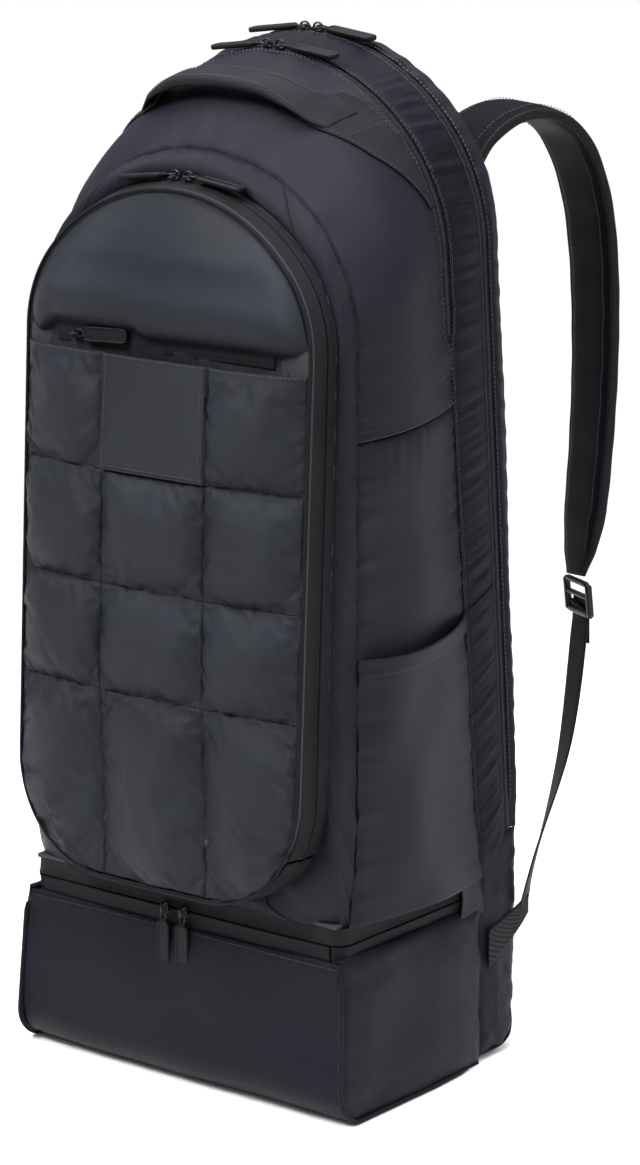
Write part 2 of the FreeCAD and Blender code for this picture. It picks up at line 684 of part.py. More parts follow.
def make_sliders():
    lift = s.chain + s.slider_gap
    for name, arch in (("main", main_arch), ("racket", rear_arch),
                       ("pocket", middle_arch)):
        for label, side in (("left", -1), ("right", 1)):
            make_slider("%s_%s" % (name, label),
                        arc_place(arch, s.pair_angle.value, side), lift, s.pull_dip)
    down = Rotation(Vector(0, 0, -1), Vector(1, 0, 0), Vector(0, -1, 0), "XYZ")
    for label, x in (("left", -14), ("right", 4)):
        front = Vector(x, s.wall.value - s.base_front.value, s.base_height.value + 10)
        make_slider("shoe_" + label, Placement(front, down), lift, as_size(0))
    backing_y = -s.pocket_y.value - s.wall.value - s.ply_gap.value
    plane = Placement(Vector(0, backing_y, 0),
                      Rotation(Vector(1, 0, 0), -s.pocket_lean.value))
    face = plane * Placement(Vector(-82, 0, s.hem.value + 10),
                             Rotation(Vector(1, 0, 0), 90))
    make_slider("slip", face, s.tape + s.gap, as_size(0))
    slip_tape = new_body("slip_zip_tape")
    pad(slip_tape, outline_sketch(slip_tape, "XZ_Plane",
                                  box_corners(-100, 100, s.hem + 3, s.hem + 17),
                                  -s.pocket_y - s.wall - s.ply_gap, -s.pocket_lean), s.tape)
    parts.append(slip_tape)


# ---------------------------------------------------------------- build, test and write

for make in (make_base, make_shell, make_door, make_pocket, make_side_pockets, make_handle,
             make_straps, make_sliders):
    make()
doc.recompute()

for item in doc.Objects:
    if "Invalid" in item.State or "Error" in item.State:
        raise RuntimeError("%s is in state %s" % (item.Label, item.State))
for part in parts:
    if part.Shape.isNull() or not part.Shape.isValid() or part.Shape.Volume < 1:
        raise RuntimeError(part.Label + " has no valid shape")

os.makedirs("parts", exist_ok=True)
for part in parts:
    part.Shape.exportStep("parts/%s.step" % part.Label)
print(len(parts), "parts written")
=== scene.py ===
import json
import math
from collections import namedtuple

import bpy
import numpy as np
from mathutils import Matrix, Vector


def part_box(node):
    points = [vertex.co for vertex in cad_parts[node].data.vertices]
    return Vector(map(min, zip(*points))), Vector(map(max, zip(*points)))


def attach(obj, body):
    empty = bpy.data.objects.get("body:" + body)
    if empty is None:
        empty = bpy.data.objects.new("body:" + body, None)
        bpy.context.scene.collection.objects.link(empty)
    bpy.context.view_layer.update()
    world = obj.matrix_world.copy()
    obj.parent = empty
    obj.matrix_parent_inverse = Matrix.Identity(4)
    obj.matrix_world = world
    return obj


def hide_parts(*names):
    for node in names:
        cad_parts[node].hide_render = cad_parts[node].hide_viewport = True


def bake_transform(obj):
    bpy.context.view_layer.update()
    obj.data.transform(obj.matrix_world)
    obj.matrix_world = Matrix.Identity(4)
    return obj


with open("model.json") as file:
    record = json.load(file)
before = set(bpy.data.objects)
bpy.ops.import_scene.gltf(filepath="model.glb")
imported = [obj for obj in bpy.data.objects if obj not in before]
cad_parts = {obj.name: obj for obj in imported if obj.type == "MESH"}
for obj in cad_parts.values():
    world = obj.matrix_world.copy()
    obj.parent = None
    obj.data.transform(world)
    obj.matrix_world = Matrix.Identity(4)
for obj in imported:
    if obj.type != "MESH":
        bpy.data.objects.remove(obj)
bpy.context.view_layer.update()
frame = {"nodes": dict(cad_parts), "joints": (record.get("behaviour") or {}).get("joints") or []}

# ---------------------------------------------------------------- camera, floor and light
# The bag stands on a pale studio floor that runs into a pale wall of light.  A large soft
# lamp from the front left, a top lamp and a weak fill from the right light it.

LONG_SIDE = 1165
FOCAL_PIXELS = 4004.6
camera = bpy.data.objects.new("camera", bpy.data.cameras.new("camera"))
bpy.context.scene.collection.objects.link(camera)
camera.data.sensor_width = 36.0
camera.data.lens = FOCAL_PIXELS / LONG_SIDE * camera.data.sensor_width
camera.location = (1.8157, -2.2554, 1.0539)
look_at = Vector((0.0436, 0.0, 0.3675))
camera.rotation_euler = (look_at - camera.location).to_track_quat("-Z", "Y").to_euler()
bpy.context.scene.camera = camera

world = bpy.data.worlds.new("studio")
world.use_nodes = True
sky_tree = world.node_tree
sky_place = sky_tree.nodes.new("ShaderNodeTexCoord")
sky_parts = sky_tree.nodes.new("ShaderNodeSeparateXYZ")
sky_ramp = sky_tree.nodes.new("ShaderNodeValToRGB")
for spot, grey in ((0.0, 0.05), (0.25, 0.10), (0.60, 0.85), (1.0, 1.0)):
    stop = sky_ramp.color_ramp.elements[0] if spot == 0.0 else (
        sky_ramp.color_ramp.elements.new(spot) if spot < 1.0
        else sky_ramp.color_ramp.elements[-1])
    stop.position = spot
    stop.color = (grey, grey, grey * 1.02, 1.0)
sky_tree.links.new(sky_place.outputs["Generated"], sky_parts.inputs[0])
sky_tree.links.new(sky_parts.outputs["Z"], sky_ramp.inputs["Fac"])
sky_tree.links.new(sky_ramp.outputs["Color"], sky_tree.nodes["Background"].inputs["Color"])
sky_tree.nodes["Background"].inputs["Strength"].default_value = 1.45
bpy.context.scene.world = world
bpy.context.scene.view_settings.view_transform = "Standard"


def soft_lamp(name, place, target, size, power, colour=(1.0, 1.0, 1.0), spread=180):
    """A square area lamp aimed from its place at a target, with a grid of some spread."""
    lamp = bpy.data.lights.new(name, "AREA")
    lamp.shape = "SQUARE"
    lamp.size = size
    lamp.energy = power
    lamp.color = colour
    lamp.spread = math.radians(spread)
    holder = bpy.data.objects.new(name, lamp)
    holder.location = place
    aim = Vector(target) - Vector(place)
    holder.rotation_euler = aim.to_track_quat("-Z", "Y").to_euler()
    bpy.context.scene.collection.objects.link(holder)


soft_lamp("key_lamp", (-0.9, -1.8, 2.7), (0, 0, 0.60), 1.2, 9, spread=38)
soft_lamp("top_lamp", (0.3, -0.3, 2.7), (0, 0, 0.5), 1.2, 9, (0.88, 0.95, 1.0), spread=60)
soft_lamp("fill_lamp", (2.9, -0.9, 1.7), (0, 0, 0.5), 1.4, 3.2, spread=60)

floor_mesh = bpy.data.meshes.new("floor")
FLOOR_HALF = 60.0
floor_mesh.from_pydata([(-FLOOR_HALF, -FLOOR_HALF, 0), (FLOOR_HALF, -FLOOR_HALF, 0),
                        (FLOOR_HALF, FLOOR_HALF, 0), (-FLOOR_HALF, FLOOR_HALF, 0)],
                       [], [(0, 1, 2, 3)])
floor = bpy.data.objects.new("floor", floor_mesh)
bpy.context.scene.collection.objects.link(floor)
floor_paint = bpy.data.materials.new("floor_paint")
floor_paint.use_nodes = True
floor_shader = floor_paint.node_tree.nodes["Principled BSDF"]
floor_shader.inputs["Base Color"].default_value = (0.93, 0.93, 0.93, 1.0)
floor_shader.inputs["Roughness"].default_value = 0.85
floor_mesh.materials.append(floor_paint)

# ---------------------------------------------------------------- cloths of the shell
# The outside is a fine, coated plain-weave nylon, charcoal with a slight blue cast and a
# soft sheen.  The same weave, at other thread widths, makes the tapes and the webbing.


def new_group(name, inputs, outputs):
    """A shader node group with float, colour or vector sockets, and its in and out nodes."""
    group = bpy.data.node_groups.new(name, "ShaderNodeTree")
    for label, kind, value in inputs:
        socket = group.interface.new_socket(label, in_out="INPUT", socket_type=kind)
        if value is not None:
            socket.default_value = value
    for label, kind in outputs:
        group.interface.new_socket(label, in_out="OUTPUT", socket_type=kind)
    return group, group.nodes.new("NodeGroupInput"), group.nodes.new("NodeGroupOutput")


def maths(tree, operation, first, second=None, third=None):
    """One Math node; each argument is a socket or a number."""
    node = tree.nodes.new("ShaderNodeMath")
    node.operation = operation
    for slot, value in zip(node.inputs, (first, second, third)):
        if value is None:
            continue
        if isinstance(value, (int, float)):
            slot.default_value = value
        else:
            tree.links.new(value, slot)
    return node.outputs[0]


def new_material(name):
    """A material with its node tree and its shader."""
    material = bpy.data.materials.new(name)
    material.use_nodes = True
    return material, material.node_tree, material.node_tree.nodes["Principled BSDF"]


def add_node(tree, kind, source=None, **values):
    """A node of a kind, its first input linked to a source, with socket values by name."""
    node = tree.nodes.new(kind)
    if source is not None:
        tree.links.new(source, node.inputs[0])
    for label, value in values.items():
        node.inputs[label].default_value = value
    return node


def dyed(tree, shader, mask, dark, light, low=0.0, high=1.0):
    """The shader's colour: a ramp from dark to light as the mask goes from low to high."""
    ramp = add_node(tree, "ShaderNodeValToRGB", mask)
    for stop, spot, colour in zip(ramp.color_ramp.elements, (low, high), (dark, light)):
        stop.position = spot
        stop.color = (*colour, 1.0)
    tree.links.new(ramp.outputs["Color"], shader.inputs["Base Color"])


def embossed(tree, shader, height, distance, **values):
    """The shader's normal: a bump from a height."""
    node = add_node(tree, "ShaderNodeBump", Distance=distance, **values)
    tree.links.new(height, node.inputs["Height"])
    tree.links.new(node.outputs["Normal"], shader.inputs["Normal"])


def moulded(name, dark, light, scale, rough, uneven=0.0, detail=2.0, bump=0.0, metallic=0.0,
            specular=0.5):
    """A cast, moulded or spun finish: fine mottling of the colour, and if asked of the
    roughness and the height."""
    material, tree, shader = new_material(name)
    place = add_node(tree, "ShaderNodeTexCoord")
    noise = add_node(tree, "ShaderNodeTexNoise", place.outputs["Object"], Scale=scale,
                     Detail=detail)
    dyed(tree, shader, noise.outputs["Fac"], dark, light)
    shader.inputs["Roughness"].default_value = rough
    if uneven:
        tree.links.new(maths(tree, "MULTIPLY_ADD", noise.outputs["Fac"], uneven, rough),
                       shader.inputs["Roughness"])
    shader.inputs["Metallic"].default_value = metallic
    shader.inputs["Specular IOR Level"].default_value = specular
    if bump:
        embossed(tree, shader, noise.outputs["Fac"], bump)
    return material


def make_weave_group():
    """Height and painted shade of a plain weave: warp and weft ribs that pass over and under,
    the shade dark in the gaps between them.
    """
    group, into, out = new_group(
        "plain_weave",
        [("UV", "NodeSocketVector", None), ("Thread", "NodeSocketFloat", 0.0006),
         ("Rib", "NodeSocketFloat", 1.0)],
        [("Height", "NodeSocketFloat"), ("Shade", "NodeSocketFloat")])
    parts = group.nodes.new("ShaderNodeSeparateXYZ")
    group.links.new(into.outputs["UV"], parts.inputs[0])
    across = maths(group, "DIVIDE", parts.outputs["X"], into.outputs["Thread"])
    along = maths(group, "DIVIDE", parts.outputs["Y"], into.outputs["Thread"])
    along = maths(group, "DIVIDE", along, into.outputs["Rib"])
    warp, weft = (maths(group, "ABSOLUTE", maths(group, "SINE", maths(
        group, "MULTIPLY", turns, math.pi))) for turns in (across, along))
    row = maths(group, "FLOOR", across)
    column = maths(group, "FLOOR", along)
    over = maths(group, "MODULO", maths(group, "ABSOLUTE",
                                        maths(group, "ADD", row, column)), 2.0)
    under = maths(group, "SUBTRACT", 1.0, over)
    height = maths(group, "ADD", maths(group, "MULTIPLY", warp, over),
                   maths(group, "MULTIPLY", weft, under))
    group.links.new(height, out.inputs["Height"])
    shade = maths(group, "ADD", maths(group, "MULTIPLY", height, 0.5), 0.5)
    group.links.new(shade, out.inputs["Shade"])
    return group


def make_wear_group():
    """Uneven dye and handling: broad soft patches and a fine cloudy grain, from 0 to 1."""
    group, into, out = new_group(
        "cloth_wear", [("Patch", "NodeSocketFloat", 9.0), ("Grain", "NodeSocketFloat", 160.0)],
        [("Patches", "NodeSocketFloat"), ("Grain", "NodeSocketFloat")])
    place = group.nodes.new("ShaderNodeTexCoord")
    for label, detail, source in (("Patches", 4.0, "Patch"), ("Grain", 2.0, "Grain")):
        noise = add_node(group, "ShaderNodeTexNoise", place.outputs["Object"], Detail=detail)
        group.links.new(into.outputs[source], noise.inputs["Scale"])
        group.links.new(noise.outputs["Fac"], out.inputs[label])
    return group


weave_group = make_weave_group()
wear_group = make_wear_group()


def cloth(name, colour, light, roughness, thread, rib=1.0, bump=0.0002, sheen=0.0,
          crumple=0.0, specular=0.13):
    """A woven cloth: dark in the weave's gaps as painted shade, light where it is rubbed, rough
    by patches.

    colour and light are the deepest and palest dye, thread the pitch in metres and rib how
    much longer a float is along than across."""
    material, tree, shader = new_material(name)
    uv = add_node(tree, "ShaderNodeUVMap")
    uv.uv_map = "UVMap"
    weave = add_node(tree, "ShaderNodeGroup")
    weave.node_tree = weave_group
    weave.inputs["Thread"].default_value = thread
    weave.inputs["Rib"].default_value = rib
    tree.links.new(uv.outputs[0], weave.inputs["UV"])
    wear = add_node(tree, "ShaderNodeGroup")
    wear.node_tree = wear_group
    # Colour mask: the weave's painted shade, dark in the gaps between threads, times the random
    # patches, plus random grain.
    mixed = maths(tree, "MULTIPLY", weave.outputs["Shade"], wear.outputs["Patches"])
    mixed = maths(tree, "ADD", mixed, maths(tree, "MULTIPLY", wear.outputs["Grain"], 0.35))
    dyed(tree, shader, mixed, colour, light, 0.2, 0.85)
    rough = maths(tree, "MULTIPLY_ADD", wear.outputs["Patches"], 0.16, roughness - 0.08)
    tree.links.new(rough, shader.inputs["Roughness"])
    shader.inputs["Sheen Weight"].default_value = sheen
    shader.inputs["Sheen Roughness"].default_value = 0.4
    shader.inputs["Specular IOR Level"].default_value = specular
    relief = maths(tree, "ADD", weave.outputs["Height"],
                   maths(tree, "MULTIPLY", wear.outputs["Grain"], 0.6))
    if crumple:
        relief = maths(tree, "ADD", relief,
                       maths(tree, "MULTIPLY", wear.outputs["Patches"], crumple))
    embossed(tree, shader, relief, bump, Strength=0.6)
    return material


shell_nylon = cloth("shell_nylon", (0.0044, 0.0040, 0.0076), (0.0100, 0.0092, 0.0162), 0.40,
                    0.0007)
# A darker, less shiny copy of the shell nylon: painted shade for the pieces that lie low or face
# away from the lamps, the base, the racket sleeve and the gusset band.
painted_shade_nylon = cloth("painted_shade_nylon", (0.0030, 0.0028, 0.0052), (0.0076, 0.0070, 0.0122), 0.34,
                   0.0008, specular=0.07)
quilt_nylon = cloth("quilt_nylon", (0.0072, 0.0079, 0.0110), (0.0150, 0.0165, 0.0223), 0.38,
                    0.0006)
zip_tape = cloth("zip_tape", (0.0026, 0.0025, 0.0034), (0.0105, 0.0102, 0.0128), 0.62, 0.0011,
                 rib=0.35, bump=0.0004, sheen=0.01)
# The same dark cloth makes the thin cords of painted shade in the seam folds.
piping_and_fold_shade_cloth = cloth("piping", (0.0016, 0.0016, 0.0020), (0.0050, 0.0050, 0.0062), 0.60, 0.0005,
                     sheen=0.02)
webbing_cloth = cloth("webbing", (0.0016, 0.0014, 0.0022), (0.0075, 0.0068, 0.0095), 0.6, 0.0016,
                      rib=1.7, bump=0.0006, sheen=0.02)

# ---------------------------------------------------------------- compartment arches
# Every seam that runs round the bag is the same kind of arch on its own leaning plane: two
# uprights, two shoulders and a flatter crown.  The cloth panels are sewn between them.

Arch = namedtuple("Arch", "half crown shoulder radius y lean")
FRONT = Arch(0.140, 0.690, 0.120, 0.160, -0.083, 0.0)
MAIN = Arch(0.143, 0.759, 0.130, 0.147, 0.0777, 5.71)
REAR = Arch(0.147, 0.767, 0.135, 0.150, 0.1093, 4.74)
GUSSET = Arch(0.136, 0.673, 0.095, 0.150, -0.1166, -2.0)
MIDDLE = Arch(0.1345, 0.6715, 0.0935, 0.1485, -0.131, -2.43)
POCKET = Arch(0.132, 0.669, 0.091, 0.146, -0.1454, -2.86)
BAG_MIDDLE = np.array([0.0, 0.0, 0.40])
BOTH_SIDES = ((-1.0, "left"), (1.0, "right"))
BASE_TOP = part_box("base_tub")[1].z
ZIP_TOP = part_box("shoe_zip_tape")[1].z
SLEEVE_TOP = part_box("sleeve_tub")[1].z
FLARE_TOP = 0.225
SIDE_SHARE = 0.66
SHOULDER_SHARE = 0.81


def arch_line(arch, low, grow=0.0, shift=0.0, count=361, foot=None):
    """Points up the right upright, over the crown and down the left one.

    The upright is straight from its foot, the shoulder an arc of the shoulder radius and
    the crown one of the crown radius, all tangent.  grow moves the line outwards and shift
    backwards.  With foot=(half flat, corner radius) the line is a closed ring from the
    middle of its flat foot."""
    share = 1.0 - np.abs(np.linspace(-1.0, 1.0, count))
    side = np.where(np.linspace(-1.0, 1.0, count) <= 0, 1.0, -1.0)
    shoulder, radius = arch.shoulder + grow, arch.radius + grow
    reach = arch.half - arch.shoulder
    centre = arch.crown - arch.radius
    spring = centre + math.sqrt((radius - shoulder) ** 2 - reach ** 2)
    swing = math.atan2(spring - centre, reach)
    lean = math.radians(arch.lean)
    bottom = low / math.cos(lean)
    start = 0.0
    corner = 0.0
    if foot:
        start, corner = 0.22, foot
    rise = np.clip((share - start) / (SIDE_SHARE - start), 0.0, 1.0)
    angle = np.interp(share, (SIDE_SHARE, SHOULDER_SHARE, 1.0), (0.0, swing, math.pi / 2))
    x = np.where(share < SHOULDER_SHARE, reach + shoulder * np.cos(angle),
                 radius * np.cos(angle))
    up = np.where(share < SIDE_SHARE,
                  bottom + corner + (spring - bottom - corner) * rise,
                  np.where(share < SHOULDER_SHARE, spring + shoulder * np.sin(angle),
                           centre + radius * np.sin(angle)))
    if foot:
        half = arch.half + grow
        turn = np.clip((share - 0.08) / (start - 0.08), 0.0, 1.0) * math.pi / 2
        curved = half - corner + corner * np.sin(turn)
        flat = (half - corner) * np.clip(share / 0.08, 0.0, 1.0)
        x = np.where(share < 0.08, flat, np.where(share < start, curved, x))
        up = np.where(share < start, bottom + corner * (1.0 - np.cos(turn)), up)
    y = arch.y + shift - math.sin(lean) * up
    return np.stack([side * x, y, math.cos(lean) * up], axis=-1)


def flared(points):
    """The shell widens to meet the base: outwards and forwards with the square of the
    depth below the flare's top."""
    depth = np.clip((FLARE_TOP - points[..., 2]) / (FLARE_TOP - BASE_TOP), 0.0, 1.0) ** 2
    forward = np.clip((0.02 - points[..., 1]) / 0.10, 0.0, 1.0)
    moved = points.copy()
    moved[..., 0] += np.sign(points[..., 0]) * 0.006 * depth
    moved[..., 1] -= 0.024 * depth * forward
    return moved


def loft(lines, count):
    """A surface through a few lines: each point follows a Catmull-Rom curve across them.

    The rows lie closer together near the first and the last line."""
    lines = np.stack(lines)
    knots = np.concatenate([2 * lines[:1] - lines[1:2], lines,
                            2 * lines[-1:] - lines[-2:-1]])
    even = np.linspace(0.0, 1.0, count)
    place = (0.35 * even + 0.325 * (1 - np.cos(math.pi * even))) * (len(lines) - 1.0)
    cell = np.minimum(place.astype(int), len(lines) - 2)
    part = (place - cell)[:, None, None]
    a, b, c, d = (knots[cell + step] for step in range(4))
    return 0.5 * (2 * b + (c - a) * part + (2 * a - 5 * b + 4 * c - d) * part ** 2
                  + (3 * b - a - 3 * c + d) * part ** 3)


def spans(grid):
    """Distance along each of a grid's two directions, averaged over the other."""
    down = np.linalg.norm(np.diff(grid, axis=0), axis=2).mean(axis=1)
    over = np.linalg.norm(np.diff(grid, axis=1), axis=2).mean(axis=0)
    return (np.concatenate([[0.0], np.cumsum(down)])[:, None],
            np.concatenate([[0.0], np.cumsum(over)])[None, :])


def outward(grid, middle=BAG_MIDDLE):
    """Unit normals of a grid: the cross product of its two directions, turned as a whole
    away from a point inside."""
    normal = np.cross(np.gradient(grid, axis=0), np.gradient(grid, axis=1))
    normal /= np.linalg.norm(normal, axis=2, keepdims=True) + 1e-12
    return normal if (normal * (grid - middle)).sum() > 0 else -normal


def ripple(across, along, seed, pitch_across, pitch_along, waves=9):
    """Soft noise near -1 to 1: a sum of sine waves of random direction and phase."""
    draw = np.random.default_rng(seed)
    total = 0.0
    for _ in range(waves):
        first, second = draw.normal(0.0, 0.7, 2)
        phase = draw.uniform(0.0, 2 * math.pi)
        total = total + np.sin(2 * math.pi * (first * across / pitch_across
                                              + second * along / pitch_along) + phase)
    return total / math.sqrt(waves)


def sewn(grid, bulge=0.004, tuck=0.0016, slack=0.0007, gather=0.0006, seed=1,
         seams=(0.0, 0.0)):
    """A cloth panel sewn along its two long edges.

    It swells as a half sine between them, dips over 4 mm at each seam, carries short
    creases that run in from the seams and die away, and lies in slow waves between.
    seams gives how deep the first and the last edge turn in, within a millimetre."""
    across, along = spans(grid)
    width = across[-1, 0]
    near = np.minimum(across, width - across) + 0.0 * along
    lift = bulge * np.sin(math.pi * across / width) - tuck * np.exp(-(near / 0.004) ** 2)
    lift = lift - seams[0] * np.exp(-(across / 0.0012) ** 2) \
        - seams[1] * np.exp(-((width - across) / 0.0012) ** 2)
    creases = ripple(across, along, seed, 0.12, 0.011) * np.exp(-near / 0.016)
    waves = ripple(across, along, seed + 50, 0.10, 0.14)
    lift = lift + gather * creases + slack * waves * (1.0 - np.exp(-(near / 0.012) ** 2))
    return grid + lift[..., None] * outward(grid)


def sample(grid, rows, columns):
    """Points of a grid at fractional rows and columns, by linear blending."""
    rows = np.clip(rows, 0.0, grid.shape[0] - 1.001)
    columns = np.clip(columns, 0.0, grid.shape[1] - 1.001)
    top, left = np.floor(rows).astype(int), np.floor(columns).astype(int)
    down, over = (rows - top)[..., None], (columns - left)[..., None]
    return ((grid[top, left] * (1 - over) + grid[top, left + 1] * over) * (1 - down)
            + (grid[top + 1, left] * (1 - over) + grid[top + 1, left + 1] * over) * down)


def put(name, points, faces, material, uv=None):
    """A mesh object from arrays: points, faces and one UV pair in metres per face corner."""
    mesh = bpy.data.meshes.new(name)
    mesh.from_pydata(points.tolist(), [], faces)
    if uv is not None:
        layer = mesh.uv_layers.new(name="UVMap")
        layer.data.foreach_set("uv", np.ascontiguousarray(uv, np.float32).ravel())
    mesh.polygons.foreach_set("use_smooth", np.ones(len(mesh.polygons), bool))
    mesh.materials.append(material)
    mesh.update()
    piece = bpy.data.objects.new(name, mesh)
    bpy.context.scene.collection.objects.link(piece)
    return piece


def cloth_piece(name, grid, material, wall=0.0014, middle=BAG_MIDDLE, ring=False,
                caps=False, turned=None):
    """Quads over a grid of points with a UV map in metres.

    The faces look away from the middle, or as turned says.  ring closes the grid's second
    direction and caps close its ends.  An open sheet gets a wall that grows inwards."""
    if ring:
        grid = np.concatenate([grid, grid[:, :1]], axis=1)
    rows, columns = grid.shape[:2]
    corner = np.arange(rows * columns).reshape(rows, columns)
    quads = np.stack([corner[:-1, :-1], corner[1:, :-1], corner[1:, 1:], corner[:-1, 1:]],
                     axis=-1).reshape(-1, 4)
    if turned is None:
        normal = np.cross(np.gradient(grid, axis=0), np.gradient(grid, axis=1))
        turned = (normal * (grid - middle)).sum() < 0
    if turned:
        quads = quads[:, ::-1]
    across, along = spans(grid)
    flat = np.stack(np.broadcast_arrays(along, across), axis=-1).reshape(-1, 2)
    uv = flat[quads.ravel()]
    points = grid.reshape(-1, 3)
    if ring:
        kept = np.arange(rows * (columns - 1)).reshape(rows, columns - 1)
        wrapped = np.concatenate([kept, kept[:, :1]], axis=1).ravel()
        quads = wrapped[quads]
        points = grid[:, :-1].reshape(-1, 3)
    faces = quads.tolist()
    if caps:
        first, last = kept[0].tolist(), kept[-1].tolist()
        faces += [first[::-1] if turned else first, last if turned else last[::-1]]
        uv = np.concatenate([uv, np.zeros((2 * len(first), 2))])
    piece = put(name, points, faces, material, uv)
    if wall and not ring:
        shell = piece.modifiers.new("wall", "SOLIDIFY")
        shell.thickness = wall
        shell.offset = -1.0
    return piece


def closed_piece(name, skin, material):
    """A closed skin, such as swept gives, as a capped piece."""
    return cloth_piece(name, skin, material, ring=True, caps=True, turned=True)


def swept(path, side, up, wide, high, power=2.0, sides=16):
    """A closed skin along a path: at each point a superellipse, whose width lies along
    the side direction and whose height lies along the up direction."""
    turn = np.linspace(0.0, 2 * math.pi, sides, endpoint=False)
    cos, sin = np.cos(turn), np.sin(turn)
    over = np.sign(cos) * np.abs(cos) ** (2.0 / power)
    rise = np.sign(sin) * np.abs(sin) ** (2.0 / power)
    count = len(path)
    wide = np.broadcast_to(wide, count)[:, None, None]
    high = np.broadcast_to(high, count)[:, None, None]
    side = np.broadcast_to(side, (count, 3))[:, None]
    up = np.broadcast_to(up, (count, 3))[:, None]
    return (path[:, None] + wide * over[None, :, None] * side
            + high * rise[None, :, None] * up)


def resampled(points, count):
    """The same line with evenly spaced points."""
    steps = np.linalg.norm(np.diff(points, axis=0), axis=1)
    reach = np.concatenate([[0.0], np.cumsum(steps)])
    place = np.linspace(0.0, reach[-1], count)
    return np.stack([np.interp(place, reach, points[:, k]) for k in range(3)], axis=-1)


def smooth_line(points, count):
    """A Catmull-Rom curve through a few points, evenly spaced."""
    return resampled(loft(np.array(points, float)[:, None], 40 * len(points))[:, 0], count)


def unit(vectors):
    return vectors / (np.linalg.norm(vectors, axis=-1, keepdims=True) + 1e-12)


def square_to(line, up):
    """Two directions square to a line and to each other, the second one nearest to up."""
    along = unit(np.gradient(line, axis=0))
    side = unit(np.cross(along, up))
    return side, np.cross(side, along)


def tube(name, path, radius, material, up):
    """A round cord of cloth along a line, such as piping."""
    side, rise = square_to(path, np.array(up))
    return closed_piece(name, swept(path, side, rise, radius, radius, 2.0, 8), material)


def joined(name, skins, material):
    """Several closed skins as one mesh."""
    pieces = [closed_piece(name, skin, material) for skin in skins]
    meshes = [piece.data for piece in pieces]
    points, faces, uvs = [], [], []
    start = 0
    for mesh in meshes:
        found = np.empty(len(mesh.vertices) * 3)
        mesh.vertices.foreach_get("co", found)
        points.append(found.reshape(-1, 3))
        faces += [[start + v for v in polygon.vertices] for polygon in mesh.polygons]
        flat = np.empty(len(mesh.loops) * 2)
        mesh.uv_layers[0].data.foreach_get("uv", flat)
        uvs.append(flat.reshape(-1, 2))
        start += len(mesh.vertices)
    for piece in pieces:
        mesh = piece.data
        bpy.data.objects.remove(piece)
        bpy.data.meshes.remove(mesh)
    return put(name, np.concatenate(points), faces, material, np.concatenate(uvs))


def seam_shade_cord(line):
    """The skin of a thin dark cord along the fold of a seam that crosses a panel: painted shade
    in the fold.
    """
    side, rise = square_to(line, np.array([0.3, -0.5, 0.8]))
    return swept(line, side, rise, 0.0007, 0.0007, 2.0, 6)


def rows_of(name, unit_points, unit_faces, centres, along, normal, material):
    """One mesh that repeats a small shape at each centre, turned to the along, cross and
    normal directions there."""
    along = unit(along)
    normal = unit(normal - (normal * along).sum(axis=1, keepdims=True) * along)
    across = np.cross(normal, along)
    turn = np.stack([along, across, normal], axis=1)
    points = centres[:, None] + np.einsum("pk,nkc->npc", unit_points, turn)
    shift = np.arange(len(centres))[:, None, None] * len(unit_points)
    faces = (np.array(unit_faces)[None] + shift).reshape(-1, len(unit_faces[0])).tolist()
    return put(name, points.reshape(-1, 3), faces, material)


def barrel(length, wide, high, sides=6, dive=0.0):
    """Points and quads of a short tapered bar along X, its ends closed and, if it is a
    stitch, dived into the cloth."""
    turn = np.linspace(0.0, 2 * math.pi, sides, endpoint=False)
    shares = np.array([(-0.5, 0.05), (-0.42, 0.7), (0.0, 1.0), (0.42, 0.7), (0.5, 0.05)])
    rings = [np.stack([np.full(sides, place * length), wide * size * np.cos(turn),
                       high * size * np.sin(turn) - dive * (2 * place) ** 2], axis=-1)
             for place, size in shares]
    points = np.concatenate(rings)
    faces = [[ring * sides + i, ring * sides + (i + 1) % sides,
              (ring + 1) * sides + (i + 1) % sides, (ring + 1) * sides + i]
             for ring in range(4) for i in range(sides)]
    return points, [face[::-1] for face in faces]


def spaced(line, normals, pitch):
    """Centres, directions and normals every pitch along a line."""
    steps = np.linalg.norm(np.diff(line, axis=0), axis=1)
    reach = np.concatenate([[0.0], np.cumsum(steps)])
    count = max(2, int(reach[-1] / pitch))
    place = (np.arange(count) + 0.5) * reach[-1] / count
    slope = np.gradient(line, axis=0)
    normals = np.broadcast_to(normals, line.shape)
    return [np.stack([np.interp(place, reach, values[:, k]) for k in range(3)], axis=-1)
            for values in (line, slope, normals)]


def stitches(name, lines, body, pitch=0.0036, lift=0.0004):
    """Rows of thread along lines given as (points, normals), riding on one body."""
    found = [spaced(line, normals, pitch) for line, normals in lines]
    centres, slopes, normals = (np.concatenate(group) for group in zip(*found))
    shape, faces = barrel(0.0025, 0.00036, 0.00030, sides=5, dive=0.0004)
    piece = rows_of(name, shape, faces, centres + lift * unit(normals), slopes, normals,
                    thread)
    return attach(piece, body)


def seam_line(grid, row, start=0, stop=None):
    """One row of a grid and its normals, as a line for stitches."""
    normals = outward(grid)
    return grid[row, start:stop], normals[row, start:stop]


thread = moulded("thread", (0.010, 0.010, 0.012), (0.045, 0.046, 0.052), 900.0, 0.55)

# ---------------------------------------------------------------- side and top panels
# The main compartment's outside: nylon panels sewn between the front seam and the main zip.
# A top panel runs over the crown, and a side panel hangs below it on each side.

PANEL_SPLIT = 0.503
MAIN_EDGE = 0.008
OVER_TAPE = 0.0018
ZIP_END = 0.560


def zip_reveal(z):
    """How far a panel's edge stays from the main zip's middle: a visible strip of tape
    above the zip's lower end, and nothing below it, where the panels meet in a seam."""
    return np.interp(z, (ZIP_END - 0.012, ZIP_END + 0.012), (0.0002, 0.0048))


def main_edge(low, way, count=361):
    """A panel's edge on the front (-1) or rear (1) side of the main zip, over its tape."""
    line = flared(arch_line(MAIN, low, grow=OVER_TAPE, count=count))
    line[:, 1] += way * zip_reveal(line[:, 2])
    return line


